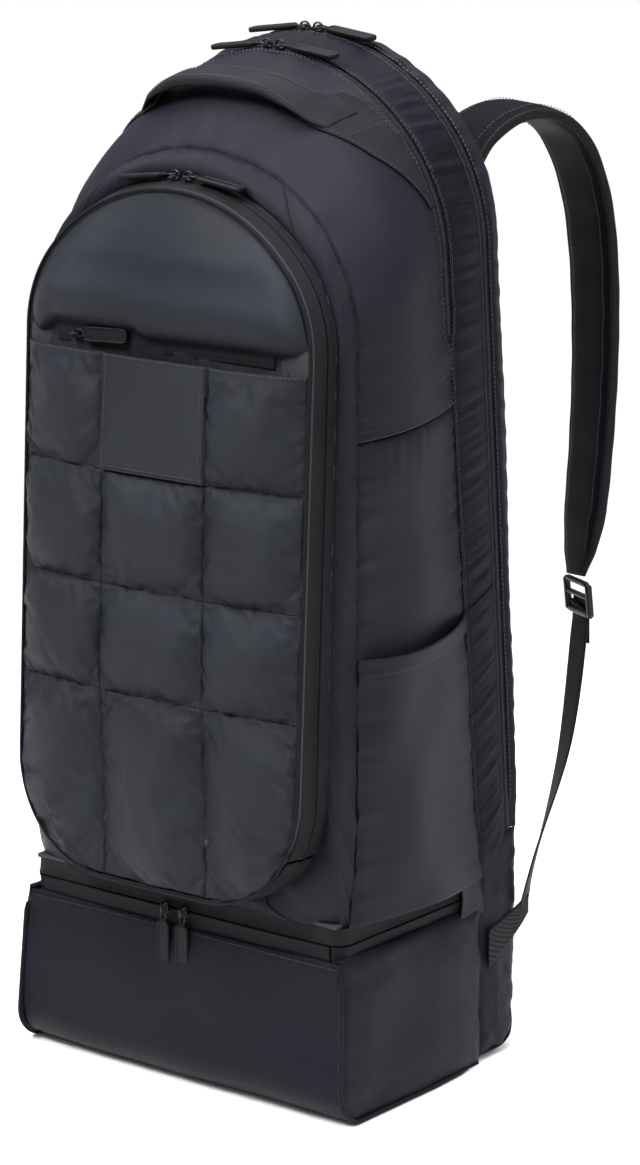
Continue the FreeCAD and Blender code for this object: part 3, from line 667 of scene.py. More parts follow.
SEAM_GROW = 0.0030
front_line = flared(arch_line(FRONT, PANEL_SPLIT - 0.006, grow=SEAM_GROW))
main_line = main_edge(PANEL_SPLIT + 0.006, -1.0)
top_flat = loft([front_line, main_line], 45)
top_grid = sewn(top_flat, bulge=0.010, slack=0.0013, gather=0.0008, seed=3, tuck=0.0007,
                seams=(0.0016, 0.0))
top_shell = cloth_piece("top_shell", top_grid, shell_nylon)
stitches("top_stitches", [seam_line(top_grid, row) for row in (-2, -4)], "main_body")
stitches("split_stitches", [(top_grid[2:-2, column], outward(top_grid)[2:-2, column])
                            for column in (1, -2)], "main_body")
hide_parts("top_panel")
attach(top_shell, "main_body")

SIDE_COLUMNS = 121


def side_lines(sign, low, high_front, high_rear, grow=0.0):
    """The front seam and the main zip seam of one side between two heights."""
    share = np.linspace(0.0, 1.0, SIDE_COLUMNS)
    lean = math.radians(MAIN.lean)
    front_z = low + (high_front - low) * share
    rear_z = low + (high_rear - low) * share
    front = np.stack([np.full(SIDE_COLUMNS, sign * (FRONT.half + SEAM_GROW + grow)),
                      np.full(SIDE_COLUMNS, FRONT.y), front_z], axis=-1)
    rear = np.stack([np.full(SIDE_COLUMNS, sign * (MAIN.half + OVER_TAPE + grow)),
                     MAIN.y - zip_reveal(rear_z) - math.tan(lean) * rear_z, rear_z],
                    axis=-1)
    return flared(front), flared(rear)


side_grids = {}
for right, (sign, label) in enumerate(BOTH_SIDES):
    lines = side_lines(sign, ZIP_TOP - 0.002, PANEL_SPLIT - 0.006, PANEL_SPLIT + 0.006)
    grid = loft(lines, 49)
    across, along = spans(grid)
    from_top = along[0, -1] - along
    grid = sewn(grid, bulge=0.010, slack=0.0018, gather=0.0010, seed=11 + right,
                tuck=0.0010, seams=(0.0016, 0.0))
    top_tuck = 0.0034 * np.exp(-(from_top / 0.0035) ** 2) + 0.0 * across
    creases = 0.0009 * ripple(across, along, 21 + right, 0.012, 0.2) \
        * np.exp(-from_top / 0.02)
    grid = grid + (creases - top_tuck)[..., None] * np.array([sign, 0.0, 0.0])
    side_grids[label] = grid
    piece = cloth_piece("side_shell_" + label, grid, shell_nylon)
    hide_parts("side_panel_" + label)
    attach(piece, "main_body")

# ---------------------------------------------------------------- side pockets
# A flat patch pocket of the same nylon on each side, sewn down at the front, the back and
# the foot.  Its hemmed mouth is open and hangs a little away from the panel.

MOUTH_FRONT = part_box("side_pocket_right")[1].z - 0.008
MOUTH_REAR = MOUTH_FRONT + 0.011
for right, (sign, label) in enumerate(BOTH_SIDES):
    grid = loft(side_lines(sign, ZIP_TOP - 0.001, MOUTH_FRONT, MOUTH_REAR, grow=0.0015), 49)
    across, along = spans(grid)
    width = across[-1, 0]
    from_mouth = along[0, -1] - along
    grid = sewn(grid, bulge=0.012, slack=0.0016, gather=0.0010, seed=31 + right)
    open_up = 0.0045 * np.sin(math.pi * across / width) * np.exp(-from_mouth / 0.035)
    hem = 0.0012 * (from_mouth < 0.012)
    grid[..., 0] += sign * (open_up + hem)
    grid[..., 2] -= (0.004 * np.sin(math.pi * across / width)
                     * np.exp(-from_mouth / 0.04))
    piece = cloth_piece("side_pocket_cloth_" + label, grid, shell_nylon, wall=0.0018)
    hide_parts("side_pocket_" + label)
    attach(piece, "main_body")

# ---------------------------------------------------------------- base
# The shoe compartment: one nylon panel runs down the front and under the bottom, with a
# flat panel at each end.  The front half folds down from the bottom's curve.

BASE_LOW, BASE_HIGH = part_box("base_tub")
BASE_HALF = BASE_HIGH.x
BASE_FRONT = BASE_LOW.y
SEAM_Y = BASE_HIGH.y
SLEEVE_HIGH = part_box("sleeve_tub")[1]
BASE_ROUND = 0.030
BASE_MIDDLE = np.array([0.0, 0.0, 0.06])


def settled(points):
    """A full compartment spreads towards the floor: forwards at the front and outwards at
    the ends, in proportion to the depth below the zip."""
    depth = np.clip(1.0 - points[..., 2] / BASE_TOP, 0.0, 1.0)
    ahead = np.clip((-0.02 - points[..., 1]) / 0.09, 0.0, 1.0)
    sides = np.clip((SEAM_Y + 0.03 - points[..., 1]) / 0.09, 0.0, 1.0)
    moved = points.copy()
    moved[..., 0] += 0.0055 * depth * sides * points[..., 0] / BASE_HALF
    moved[..., 1] -= 0.0085 * depth * ahead
    return moved


def base_profile(top, back, radius, count):
    """In over the top edge's fold, down the front, round the bottom's curve and back along
    the floor, as (y, z)."""
    turn = np.linspace(0.0, math.pi / 2, 25)
    curve = np.stack([BASE_FRONT + radius * (1 - np.cos(turn)),
                      radius * (1 - np.sin(turn))], axis=-1)
    line = np.concatenate([[[BASE_FRONT + 0.0060, top - 0.0012],
                            [BASE_FRONT + 0.0022, top], [BASE_FRONT, top - 0.0020]],
                           curve, [[back, 0.0]]])
    line = np.concatenate([np.zeros((len(line), 1)), line], axis=1)
    return resampled(line, count)


profile = base_profile(BASE_TOP, SEAM_Y, BASE_ROUND, 161)
across_base = np.linspace(-BASE_HALF + 0.001, BASE_HALF - 0.001, 141)
wrap = np.repeat(profile[:, None], len(across_base), axis=1)
wrap[..., 0] = across_base[None]
edge_near = BASE_HALF - np.abs(wrap[..., 0])
height_share = np.clip(wrap[..., 2] / BASE_TOP, 0.0, 1.0)
swell = 0.0025 * np.sin(math.pi * height_share) * (1 - (wrap[..., 0] / BASE_HALF) ** 4)
swell += 0.0009 * ripple(wrap[..., 0], wrap[..., 2], 41, 0.16, 0.07)
swell += 0.0006 * np.exp(-edge_near / 0.02) * ripple(wrap[..., 0], wrap[..., 2], 42, 0.1,
                                                     0.016)
swell += 0.0004 * np.exp(-(BASE_TOP - wrap[..., 2]) / 0.012) \
    * ripple(wrap[..., 0], wrap[..., 2], 43, 0.010, 0.1)
swell -= 0.0016 * np.exp(-((BASE_TOP - wrap[..., 2]) / 0.004) ** 2)
swell *= np.clip(wrap[..., 2] / 0.004, 0.0, 1.0)
wrap = wrap + swell[..., None] * outward(wrap, BASE_MIDDLE)
wrap[..., 2] = np.maximum(wrap[..., 2], 0.0004)
wrap = settled(wrap)
# The wrap's darker nylon is painted shade under the pocket's overhang.
base_wrap = cloth_piece("base_wrap", wrap, painted_shade_nylon, middle=BASE_MIDDLE)
stitches("base_top_stitches", [(wrap[6, 2:-2], outward(wrap, BASE_MIDDLE)[6, 2:-2])],
         "shoe_flap")
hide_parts("shoe_flap_panel")
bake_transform(base_wrap)


def end_panel(sign, front, back, top, radius, half, seed, back_radius=0.0, low=0.0):
    """A flat end panel: columns run from the curved bottom edge up to the top seam."""
    y = front + (back - front) * (1 - np.cos(np.linspace(0, math.pi, 61))) / 2
    bottom = np.full_like(y, low)
    ahead = np.clip(front + radius - y, 0.0, radius)
    bottom += radius - np.sqrt(np.maximum(radius ** 2 - ahead ** 2, 0.0))
    if back_radius:
        behind = np.clip(y - (back - back_radius), 0.0, back_radius)
        bottom += back_radius - np.sqrt(np.maximum(back_radius ** 2 - behind ** 2, 0.0))
    rise = np.linspace(0.0, 1.0, 41)[:, None]
    z = bottom[None] + (top - bottom[None]) * rise
    grid = np.stack([np.full_like(z, sign * half), np.broadcast_to(y, z.shape), z], axis=-1)
    near = np.minimum(np.minimum(y - front, back - y)[None] + 0 * z,
                      np.minimum(z - bottom[None], top - z))
    lift = 0.0030 * np.clip(near / 0.03, 0, 1) ** 0.7 - 0.0014 * np.exp(-(near / 0.004) ** 2)
    lift += 0.0006 * np.exp(-near / 0.018) * ripple(z, grid[..., 1], seed, 0.018, 0.02)
    lift += 0.0008 * ripple(z, grid[..., 1], seed + 1, 0.08, 0.11)
    grid[..., 0] += sign * lift
    return grid


for sign, label in BOTH_SIDES:
    grid = end_panel(sign, BASE_FRONT, SEAM_Y, BASE_TOP, BASE_ROUND, BASE_HALF - 0.0006,
                     45 if sign > 0 else 47)
    grid = settled(grid)
    ledge = grid[-1] + np.array([-sign * 0.0045, 0.0, -0.0006])
    grid = np.concatenate([grid, ledge[None]])
    corner, tuck = grid[:, -1:].copy(), grid[:, -1:].copy()
    corner[..., 1] += 0.0004
    tuck[..., 0] = sign * (SLEEVE_HIGH.x - 0.010)
    tuck[..., 1] += 0.0004
    grid = np.concatenate([grid, corner, tuck], axis=1)
    piece = cloth_piece("base_end_" + label, grid, painted_shade_nylon, turned=sign < 0)
    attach(piece, "main_body")
    if sign > 0:
        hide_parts("base_tub")

# ---------------------------------------------------------------- base piping
# A cord wrapped in nylon, sewn into the seam between the front panel and each end panel.

for sign, label in BOTH_SIDES:
    line = base_profile(BASE_TOP - 0.006, SEAM_Y - 0.014, BASE_ROUND, 201)[9:]
    line[:, 0] = sign * (BASE_HALF + 0.0004)
    line[:, 2] = np.maximum(line[:, 2], 0.0021)
    line[:, 1] -= 0.0004
    line = settled(line)
    fade = np.ones(len(line))
    fade[:6] = np.linspace(0.3, 1.0, 6)
    fade[-12:] = np.linspace(1.0, 0.2, 12)
    piece = tube("base_piping_" + label, line, 0.0019 * fade, piping_and_fold_shade_cloth,
                 up=(1.0, 0.0, 0.0))
    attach(piece, "main_body")
    if sign > 0:
        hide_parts("base_piping")

# ---------------------------------------------------------------- racket sleeve foot
# Behind the shoe compartment the racket compartment reaches down to the floor: a wrap
# from the bottom up the back, and a panel on each side.

turn = np.linspace(0.0, math.pi / 2, 25)
SLEEVE_ROUND = 0.025
SLEEVE_REAR = SLEEVE_HIGH.y
SLEEVE_HALF = SLEEVE_HIGH.x
sleeve_line = np.concatenate([
    [[0.0, SEAM_Y, 0.0045]],
    np.stack([np.zeros(25), SLEEVE_REAR - SLEEVE_ROUND + SLEEVE_ROUND * np.sin(turn),
              0.0045 + SLEEVE_ROUND * (1 - np.cos(turn))], axis=-1),
    [[0.0, SLEEVE_REAR, SLEEVE_TOP]]])
sleeve_line = resampled(sleeve_line, 91)
across_sleeve = np.linspace(-SLEEVE_HALF, SLEEVE_HALF, 121)
sleeve_grid = np.repeat(sleeve_line[:, None], 121, axis=1)
sleeve_grid[..., 0] = across_sleeve[None]
edge_near = SLEEVE_HALF - np.abs(sleeve_grid[..., 0])
SLEEVE_MIDDLE = np.array([0.0, 0.06, 0.1])
sleeve_grid = sleeve_grid - 0.012 * np.array([0.0, 1.0, 0.0]) \
    * (np.clip(1 - edge_near / 0.020, 0, 1) ** 2)[..., None] \
    * np.clip((sleeve_grid[..., 2:] - 0.01) / 0.03, 0, 1)
waves = 0.0010 * ripple(sleeve_grid[..., 0], sleeve_grid[..., 2], 61, 0.12, 0.05) \
    * np.clip((sleeve_grid[..., 2] - 0.006) / 0.01, 0.0, 1.0)
sleeve_grid = sleeve_grid + waves[..., None] * outward(sleeve_grid, SLEEVE_MIDDLE)
# The sleeve's darker nylon is painted shade.
sleeve_back = cloth_piece("sleeve_back", sleeve_grid, painted_shade_nylon, middle=SLEEVE_MIDDLE)
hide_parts("sleeve_tub")
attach(sleeve_back, "main_body")
for sign, label in BOTH_SIDES:
    grid = end_panel(sign, SEAM_Y, SLEEVE_REAR - 0.006, SLEEVE_TOP, 0.001,
                     SLEEVE_HALF - 0.0008, 65 if sign > 0 else 67, 0.022, 0.0045)
    piece = cloth_piece("sleeve_end_" + label, grid, painted_shade_nylon, turned=sign < 0)
    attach(piece, "main_body")

# ---------------------------------------------------------------- shoe compartment zip
# A wide ribbed zip tape runs round the front and both sides, a little back from the
# panels.  The lower tape of the front is sewn to the folding panel.

ZIP_LINE = BASE_TOP + 0.0100
TAPE_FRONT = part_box("shoe_zip_tape")[0].y
TAPE_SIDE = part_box("shoe_zip_tape")[1].x
TAPE_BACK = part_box("shoe_zip_tape")[1].y
TAPE_CORNER = 0.012
TAPE_FRONT_HALF = 0.1385


def zip_path():
    """From the left side's end forward, round the corner and along the front to the
    right side's end, at floor level."""
    turn = np.linspace(0.0, math.pi / 2, 13)
    inner_x, inner_y = TAPE_SIDE - TAPE_CORNER, TAPE_FRONT + TAPE_CORNER
    first = np.stack([-inner_x - TAPE_CORNER * np.cos(turn),
                      inner_y - TAPE_CORNER * np.sin(turn), 0 * turn], axis=-1)
    second = first[::-1] * np.array([-1.0, 1.0, 1.0])
    line = np.concatenate([[[-TAPE_SIDE, TAPE_BACK, 0.0]], first, second,
                           [[TAPE_SIDE, TAPE_BACK, 0.0]]])
    return resampled(line, 401)


def upright_band(path, heights, outs):
    """A band that stands on a level path: each row has its own height and stands off by
    its own amount."""
    along = unit(np.gradient(path, axis=0))
    off = np.stack([along[:, 1], -along[:, 0], 0 * along[:, 0]], axis=-1)
    rows = [path + off * out + np.array([0.0, 0.0, z]) for z, out in zip(heights, outs)]
    return np.stack(rows)


zip_floor = zip_path()
front_part = np.abs(zip_floor[:, 0]) <= TAPE_FRONT_HALF
front_only = zip_floor[front_part & (zip_floor[:, 1] < TAPE_FRONT + 0.002)]
upper = upright_band(zip_floor, (ZIP_LINE + 0.0004, ZIP_LINE + 0.0011, ZIP_LINE + 0.002,
                                 ZIP_LINE + 0.011, ZIP_LINE + 0.0128),
                     (0.0002, 0.0012, 0.0005, 0.0, 0.0004))
piece = cloth_piece("shoe_tape_upper", upper, zip_tape, wall=0.0008)
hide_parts("shoe_zip_tape")
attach(piece, "main_body")
LOWER_HEIGHTS = (ZIP_LINE - 0.0085, ZIP_LINE - 0.002, ZIP_LINE - 0.0011, ZIP_LINE - 0.0004)
LOWER_OUTS = (0.0, 0.0, 0.0005, 0.0012, 0.0002)
for sign, label in BOTH_SIDES:
    lower = upright_band(zip_floor[sign * zip_floor[:, 0] > TAPE_FRONT_HALF],
                         (BASE_TOP - 0.004, *LOWER_HEIGHTS), LOWER_OUTS)
    piece = cloth_piece("shoe_tape_side_" + label, lower, zip_tape, wall=0.0008)
    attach(piece, "main_body")
for sign, label in BOTH_SIDES:
    cover_y = np.linspace(TAPE_BACK - 0.011, SEAM_Y + 0.004, 25)
    cover_low = np.stack([np.full(25, sign * (BASE_HALF + 0.0010)), cover_y,
                          np.full(25, BASE_TOP - 0.005)], axis=-1)
    bottom_edge = side_grids[label][:, 0]
    order = np.argsort(bottom_edge[:, 1])
    cover_high = np.stack([np.interp(cover_y, bottom_edge[order, 1], bottom_edge[order, 0])
                           - sign * 0.0006, cover_y, np.full(25, ZIP_TOP + 0.003)], axis=-1)
    cover = loft([cover_low, 0.5 * (cover_low + cover_high), cover_high], 17)
    rounding = 0.006 * (1 - np.sqrt(np.clip(1 - ((cover[..., 2] - ZIP_LINE) / 0.016) ** 2,
                                            0.0, 1.0)))
    cover[..., 1] -= rounding * np.linspace(1.0, 0.0, 25)[None]
    piece = cloth_piece("zip_end_cover_" + label, cover, shell_nylon)
    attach(piece, "main_body")
lower = upright_band(front_only, (BASE_TOP - 0.007, *LOWER_HEIGHTS), LOWER_OUTS)
piece = cloth_piece("shoe_tape_front", lower, zip_tape, wall=0.0008)
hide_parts("shoe_flap_tape")
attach(piece, "shoe_flap")

# ---------------------------------------------------------------- front pocket gusset
# A plain nylon band joins the front seam to the pocket's zip all the way round.  Short
# darts take it round the shoulders and the lower corners.

FRONT_CORNER = 0.006
inner_ring = arch_line(GUSSET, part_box("pocket_foot")[0].z, count=481, foot=0.085)
outer_ring = flared(arch_line(FRONT, ZIP_TOP - 0.004, grow=SEAM_GROW, count=481,
                              foot=FRONT_CORNER))
ring_middle = 0.5 * (inner_ring + outer_ring)
ring_middle[:, 1] -= 0.004
gusset_grid = loft([inner_ring + np.array([0.0, -0.002, 0.0]), ring_middle, outer_ring], 37)
gusset_grid = sewn(gusset_grid, bulge=0.0025, slack=0.0008, gather=0.0006, seed=71,
                   tuck=0.0012, seams=(0.0, 0.0016))
piece = cloth_piece("pocket_gusset_cloth", gusset_grid, shell_nylon)
# Each dart is drawn as a thin cord of the dark piping cloth: painted shade in the dart's fold.
dart_lines = []
shoulder = int(np.argmin(np.abs(inner_ring[120:240, 2] - 0.630))) + 120
for end in (0, 480):
    at = abs(end - shoulder)
    dart_lines.append(gusset_grid[1:-1, at])
    corner_run = sample(gusset_grid, np.linspace(1.0, 35.0, 40),
                        np.abs(end - np.linspace(27.4, 15.0, 40)))
    dart_lines.append(corner_run)
darts = joined("gusset_dart_shade", [seam_shade_cord(line) for line in dart_lines], piping_and_fold_shade_cloth)
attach(darts, "main_body")
stitches("gusset_stitches", [seam_line(gusset_grid, row, 60, -60) for row in (1, 2)],
         "main_body")
stitches("front_seam_stitches", [seam_line(gusset_grid, -3, 50, -50)], "main_body")
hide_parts("pocket_gusset")
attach(piece, "main_body")

# ---------------------------------------------------------------- front pocket zip
# Two ribbed tapes with their coil on the inside: one on the gusset, one on the flap.

POCKET_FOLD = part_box("pocket_zip_tape")[0].z
TAPE_RIDGE = 0.0011


def zip_half(name, first, last, count, wall=0.0008):
    """A tape between two lines, with a low ridge at the last one where the coil lies."""
    share = np.linspace(0.0, 1.0, count)[:, None, None]
    grid = first[None] + (last - first)[None] * share
    width = np.linalg.norm(last - first, axis=1).mean()
    distance = (1.0 - share) * width
    ridge = TAPE_RIDGE * np.exp(-((distance - 0.0014) / 0.0009) ** 2)
    piece = cloth_piece(name, grid + ridge * outward(grid), zip_tape, wall=wall)
    return piece


RING_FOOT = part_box("pocket_foot")[0].z
pocket_ring = arch_line(POCKET, RING_FOOT + 0.001, count=721, foot=0.083)
middle_ring = arch_line(MIDDLE, RING_FOOT + 0.0005, count=721, foot=0.084)
gusset_ring = arch_line(GUSSET, RING_FOOT, count=721, foot=0.085)
pocket_ring[:, 1] -= 0.0008
above_fold = middle_ring[:, 2] >= POCKET_FOLD
gap = np.array([0.0, 0.0003, 0.0])
piece = zip_half("pocket_tape_cloth", gusset_ring[above_fold], middle_ring[above_fold] + gap,
                 17)
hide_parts("pocket_zip_tape")
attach(piece, "main_body")
piece = zip_half("flap_tape_cloth", pocket_ring[above_fold], middle_ring[above_fold] - gap, 17)
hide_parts("pocket_flap_tape")
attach(piece, "pocket_flap")

# Below the fold both tapes run on round the lower corners and stay with the bag.
rolled_rings = [np.roll(line[:-1], 360, axis=0)
                for line in (pocket_ring, middle_ring, gusset_ring)]
below = rolled_rings[1][:, 2] < POCKET_FOLD + 0.0006
for label, side_part in (("left", rolled_rings[1][:, 0] < -0.055),
                         ("right", rolled_rings[1][:, 0] > 0.055)):
    first, half, last = (line[below & side_part] for line in rolled_rings)
    for edge_name, outer in (("front", first), ("rear", last)):
        piece = zip_half("pocket_tape_foot_%s_%s" % (edge_name, label), outer, half, 17,
                         wall=0.0006)
        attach(piece, "main_body")

# ---------------------------------------------------------------- quilted pocket panel
# Two layers of thin nylon with wadding between, stitched through in three columns and four
# rows.  Its upper edge is the open hem of a slip pocket, and its foot is the fold that the
# whole pocket front opens on.

PANEL_HALF = 0.1302
HEM_ROWS = 6
PANEL_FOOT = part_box("pocket_foot")[0].z + 0.004
PANEL_CORNER = 0.078
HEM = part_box("quilted_panel")[1].z
COLUMN = 0.0480
ROW_SEAMS = (0.302, 0.3805, 0.464)
HEIGHTS = (0.157, 0.244, 0.302, 0.380, 0.464, 0.548, 0.620, 0.668)
MIDDLE_Y = (-0.1375, -0.1405, -0.143, -0.140, -0.138, -0.1325, -0.128, -0.117)


def edge_y(z):
    """The pocket's edge leans back as it rises, as the arch that it is sewn to does."""
    return POCKET.y - 0.0035 + math.tan(math.radians(-POCKET.lean)) * z


def panel_point(x, z, depth):
    """A point of the pocket's front: level with the edge at the border, and out to the
    middle line's curve as depth goes from 0 at the border to 1."""
    crown = np.interp(z, HEIGHTS, MIDDLE_Y)
    y = edge_y(z) + (crown - edge_y(z)) * depth
    return np.stack([x, y, z], axis=-1)


def even_cells(borders, counts):
    """Values from border to border, closer together near each border, in given counts."""
    runs = []
    for low, high, count in zip(borders[:-1], borders[1:], counts):
        share = (1 - np.cos(np.linspace(0, math.pi, count + 1)[:-1])) / 2
        share = 0.9 * share + 0.1 * np.linspace(0, 1, count + 1)[:-1]
        runs.append(low + (high - low) * share)
    return np.concatenate(runs + [[borders[-1]]])


COLUMN_CELLS = (34, 38, 34)
ROW_CELLS = (50, 32, 34, 34)
column_x = even_cells((-PANEL_HALF, -COLUMN, COLUMN, PANEL_HALF), COLUMN_CELLS)
over = np.clip(np.abs(column_x) - (PANEL_HALF - PANEL_CORNER), 0.0, PANEL_CORNER)
panel_bottom = PANEL_FOOT + PANEL_CORNER - np.sqrt(np.maximum(
    PANEL_CORNER ** 2 - over ** 2, 0.0))
row_share = even_cells((0.0, 1.0, 2.0, 3.0, 4.0), ROW_CELLS)
seam_rows = np.array([0.0, *ROW_SEAMS, HEM])
quilt_z = np.where(row_share[:, None] <= 1.0,
                   panel_bottom[None] + (ROW_SEAMS[0] - panel_bottom[None])
                   * np.minimum(row_share, 1.0)[:, None],
                   np.interp(row_share, np.arange(5), seam_rows)[:, None])
quilt_x = np.broadcast_to(column_x, quilt_z.shape).copy()
above_foot = np.clip((quilt_z - panel_bottom[None]) / 0.075, 0.0, 1.0)
depth = (1.0 - np.abs(quilt_x / PANEL_HALF) ** 2.8) * (1.0 - (1.0 - above_foot) ** 2)
quilt_x *= 1.0 - 0.010 * np.clip((quilt_z - 0.35) / 0.2, 0.0, 1.0)
quilt_flat = panel_point(quilt_x, quilt_z, depth)
seam_columns = (0, COLUMN_CELLS[0], COLUMN_CELLS[0] + COLUMN_CELLS[1], len(column_x) - 1)
seam_row_index = np.concatenate([[0], np.cumsum(ROW_CELLS)])
patch_cell = ((row_share[:, None] > 3.0) & (np.abs(column_x)[None] < COLUMN))


def near_seam(values, borders):
    """Distance from each value to the nearest border."""
    return np.abs(values[..., None] - np.array(borders)).min(axis=-1)


in_cell_x = near_seam(column_x, (-PANEL_HALF, -COLUMN, COLUMN, PANEL_HALF))[None]
in_cell_z = np.minimum(near_seam(quilt_z, (*ROW_SEAMS, HEM + 0.02)),
                       quilt_z - panel_bottom[None])
FULL = 0.0066
pillow = FULL * (1 - np.exp(-in_cell_x / 0.0065)) * (1 - np.exp(-in_cell_z / 0.0065))
pillow = np.where(patch_cell, 0.0036, pillow)
seam_x = np.where(quilt_z > ROW_SEAMS[2] + 0.002, 0.0 * in_cell_x + 0.01, in_cell_x)
pillow -= 0.0012 * (np.exp(-(np.maximum(seam_x, 0.0) / 0.0011) ** 2)
                    + np.exp(-(in_cell_z / 0.0011) ** 2))
crease = 0.0007 * np.exp(-np.minimum(in_cell_x + 0 * in_cell_z, in_cell_z) / 0.008) \
    * ripple(quilt_x, quilt_z, 81, 0.011, 0.012)
crease += 0.0007 * ripple(quilt_x, quilt_z, 82, 0.06, 0.06)
pillow = pillow + crease * np.where(patch_cell, 0.25, 1.0) \
    * np.clip(in_cell_x / 0.004, 0, 1) * np.clip(in_cell_z / 0.004, 0, 1)
quilt_grid = quilt_flat + pillow[..., None] * outward(quilt_flat)


def inflate(grid, pinned, pressure, shrink, frames, cap, name):
    """Cloth simulation of a stitched panel: its seams are held, air presses from inside
    and the cloth is cut a little larger than its frame.  No point may move further than
    the cap, and the result is the same grid."""
    rows, columns = grid.shape[:2]
    trial = cloth_piece(name, grid, shell_nylon, wall=0.0)
    held = trial.vertex_groups.new(name="seams")
    held.add(np.flatnonzero(pinned.ravel()).tolist(), 1.0, "REPLACE")
    cloth_mod = trial.modifiers.new("cloth", "CLOTH")
    settings = cloth_mod.settings
    settings.vertex_group_mass = "seams"
    settings.use_pressure = True
    settings.uniform_pressure_force = pressure
    settings.shrink_min = shrink
    settings.quality = 6
    settings.mass = 0.15
    settings.tension_stiffness = 12
    settings.compression_stiffness = 12
    settings.shear_stiffness = 4
    settings.bending_stiffness = 0.05
    settings.effector_weights.gravity = 0.0
    cloth_mod.point_cache.frame_start = 1
    cloth_mod.point_cache.frame_end = frames
    scene = bpy.context.scene
    for frame_number in range(1, frames + 1):
        scene.frame_set(frame_number)
    ready = trial.evaluated_get(bpy.context.evaluated_depsgraph_get())
    moved = np.empty(rows * columns * 3, np.float32)
    ready.data.vertices.foreach_get("co", moved)
    scene.frame_set(1)
    bpy.data.objects.remove(trial)
    step = moved.reshape(rows, columns, 3).astype(float) - grid
    length = np.linalg.norm(step, axis=-1, keepdims=True)
    return grid + step * np.minimum(1.0, cap / np.maximum(length, 1e-9))


held = np.zeros(quilt_z.shape, bool)
held[:, list(seam_columns)] = True
held[list(seam_row_index[:-1])] = True
held[-HEM_ROWS:] = True
held |= patch_cell
quilt_grid = inflate(quilt_grid, held, 3.0, -0.03, 14, 0.006, "quilt_trial")
quilt = cloth_piece("quilt", quilt_grid, quilt_nylon, wall=0.0016)
quilt_out = outward(quilt_grid)
hem_row = quilt_grid[-3], quilt_out[-3]
patch_columns = slice(COLUMN_CELLS[0], COLUMN_CELLS[0] + COLUMN_CELLS[1] + 1)
patch_rows = slice(seam_row_index[3], None)
stitch_lines = [hem_row]
for column in seam_columns[1:3]:
    stitch_lines.append((quilt_grid[seam_row_index[1]:, column],
                         quilt_out[seam_row_index[1]:, column]))
for row in seam_row_index[1:4]:
    stitch_lines.append((quilt_grid[row + 2, 2:-2], quilt_out[row + 2, 2:-2]))
stitch_lines.append((quilt_grid[seam_row_index[3] + 4, patch_columns],
                     quilt_out[seam_row_index[3] + 4, patch_columns]))
for column in (COLUMN_CELLS[0] + 4, COLUMN_CELLS[0] + COLUMN_CELLS[1] - 4):
    stitch_lines.append((quilt_grid[patch_rows, column], quilt_out[patch_rows, column]))
stitches("quilt_stitches", stitch_lines, "pocket_flap")
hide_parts("quilted_panel")
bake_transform(quilt)

# ---------------------------------------------------------------- padded arch of the pocket
# Above the slip pocket the same thin nylon is lined with wadding and left smooth.

edge_arch = arch_line(POCKET, HEM - 0.012, grow=-0.0035, count=181)
edge_arch[:, 1] = edge_y(edge_arch[:, 2])
share = np.linspace(1.0, -1.0, 181)
floor_x = 0.1245 * np.sign(share) * np.abs(share) ** 0.8
base_line = np.stack([floor_x, 0 * share, np.full(181, HEM - 0.014)], axis=-1)
fill = np.linspace(0.0, 1.0, 61)[:, None, None]
arch_xz = base_line[None] + (edge_arch - base_line)[None] * fill
pad_x, pad_z = arch_xz[..., 0], arch_xz[..., 2]
border = np.broadcast_to(1.0 - fill[..., 0], pad_x.shape)
from_edge = np.linalg.norm(edge_arch - base_line, axis=1)[None] * border
depth = np.clip(1.0 - np.exp(-from_edge / 0.022), 0.0, 1.0)
arch_grid = panel_point(pad_x, pad_z, depth)
above_hem = pad_z - HEM
# The padding draws back where the slip pocket's pull rests, and less along its travel.
REST_X, REST_HALF, TRAVEL_X, TRAVEL_HALF, TRAVEL_SHARE = -0.062, 0.034, 0.015, 0.105, 0.62
by_pull = np.exp(-(np.clip(np.abs(pad_x - REST_X) - REST_HALF, 0.0, 1.0) / 0.016) ** 2)
on_travel = np.exp(-(np.clip(np.abs(pad_x - TRAVEL_X) - TRAVEL_HALF, 0.0, 1.0) / 0.010) ** 2)
by_pull = np.maximum(by_pull, TRAVEL_SHARE * on_travel)
under = np.exp(-np.clip(above_hem - 0.003 - 0.013 * by_pull, 0.0, 1.0) / 0.007)
arch_grid[..., 1] += 0.0135 * under * np.clip(from_edge / 0.004, 0.0, 1.0) - 0.0035 * depth
arch_grid[..., 1] -= 0.0040 * np.exp(-((above_hem - 0.030 - 0.010 * by_pull) / 0.017) ** 2) \
    * depth
arch_grid[..., 1] -= 0.0009 * ripple(pad_x, pad_z, 91, 0.09, 0.08) * depth
arch_grid[..., 1] -= 0.0006 * ripple(pad_x, pad_z, 92, 0.012, 0.02) \
    * (np.exp(-from_edge / 0.010) + np.exp(-np.abs(above_hem) / 0.008)) * depth
arch = cloth_piece("arch_cloth", arch_grid, quilt_nylon, wall=0.0016)
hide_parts("arch_pad")
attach(arch, "pocket_flap")

# ---------------------------------------------------------------- pocket piping and foot
# A thin piping closes the edge of the pocket's front.  Below the fold it stays with the
# bag, and a plain strip joins the panel's foot to the gusset.

ring = arch_line(POCKET, PANEL_FOOT - 0.003, grow=-0.0012, count=721, foot=0.083)
ring[:, 1] = edge_y(ring[:, 2]) - 0.0008
ring = resampled(ring, 721)
upper_part = ring[:, 2] >= POCKET_FOLD
piece = tube("pocket_piping_flap", ring[upper_part], 0.0012, piping_and_fold_shade_cloth,
             up=(0.0, -1.0, 0.0))
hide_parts("pocket_piping")
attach(piece, "pocket_flap")
rolled = np.roll(ring[:-1], 360, axis=0)
lower_part = rolled[:, 2] < POCKET_FOLD + 0.001
piece = tube("pocket_piping_foot", rolled[lower_part], 0.0012, piping_and_fold_shade_cloth,
             up=(0.0, -1.0, 0.0))
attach(piece, "main_body")

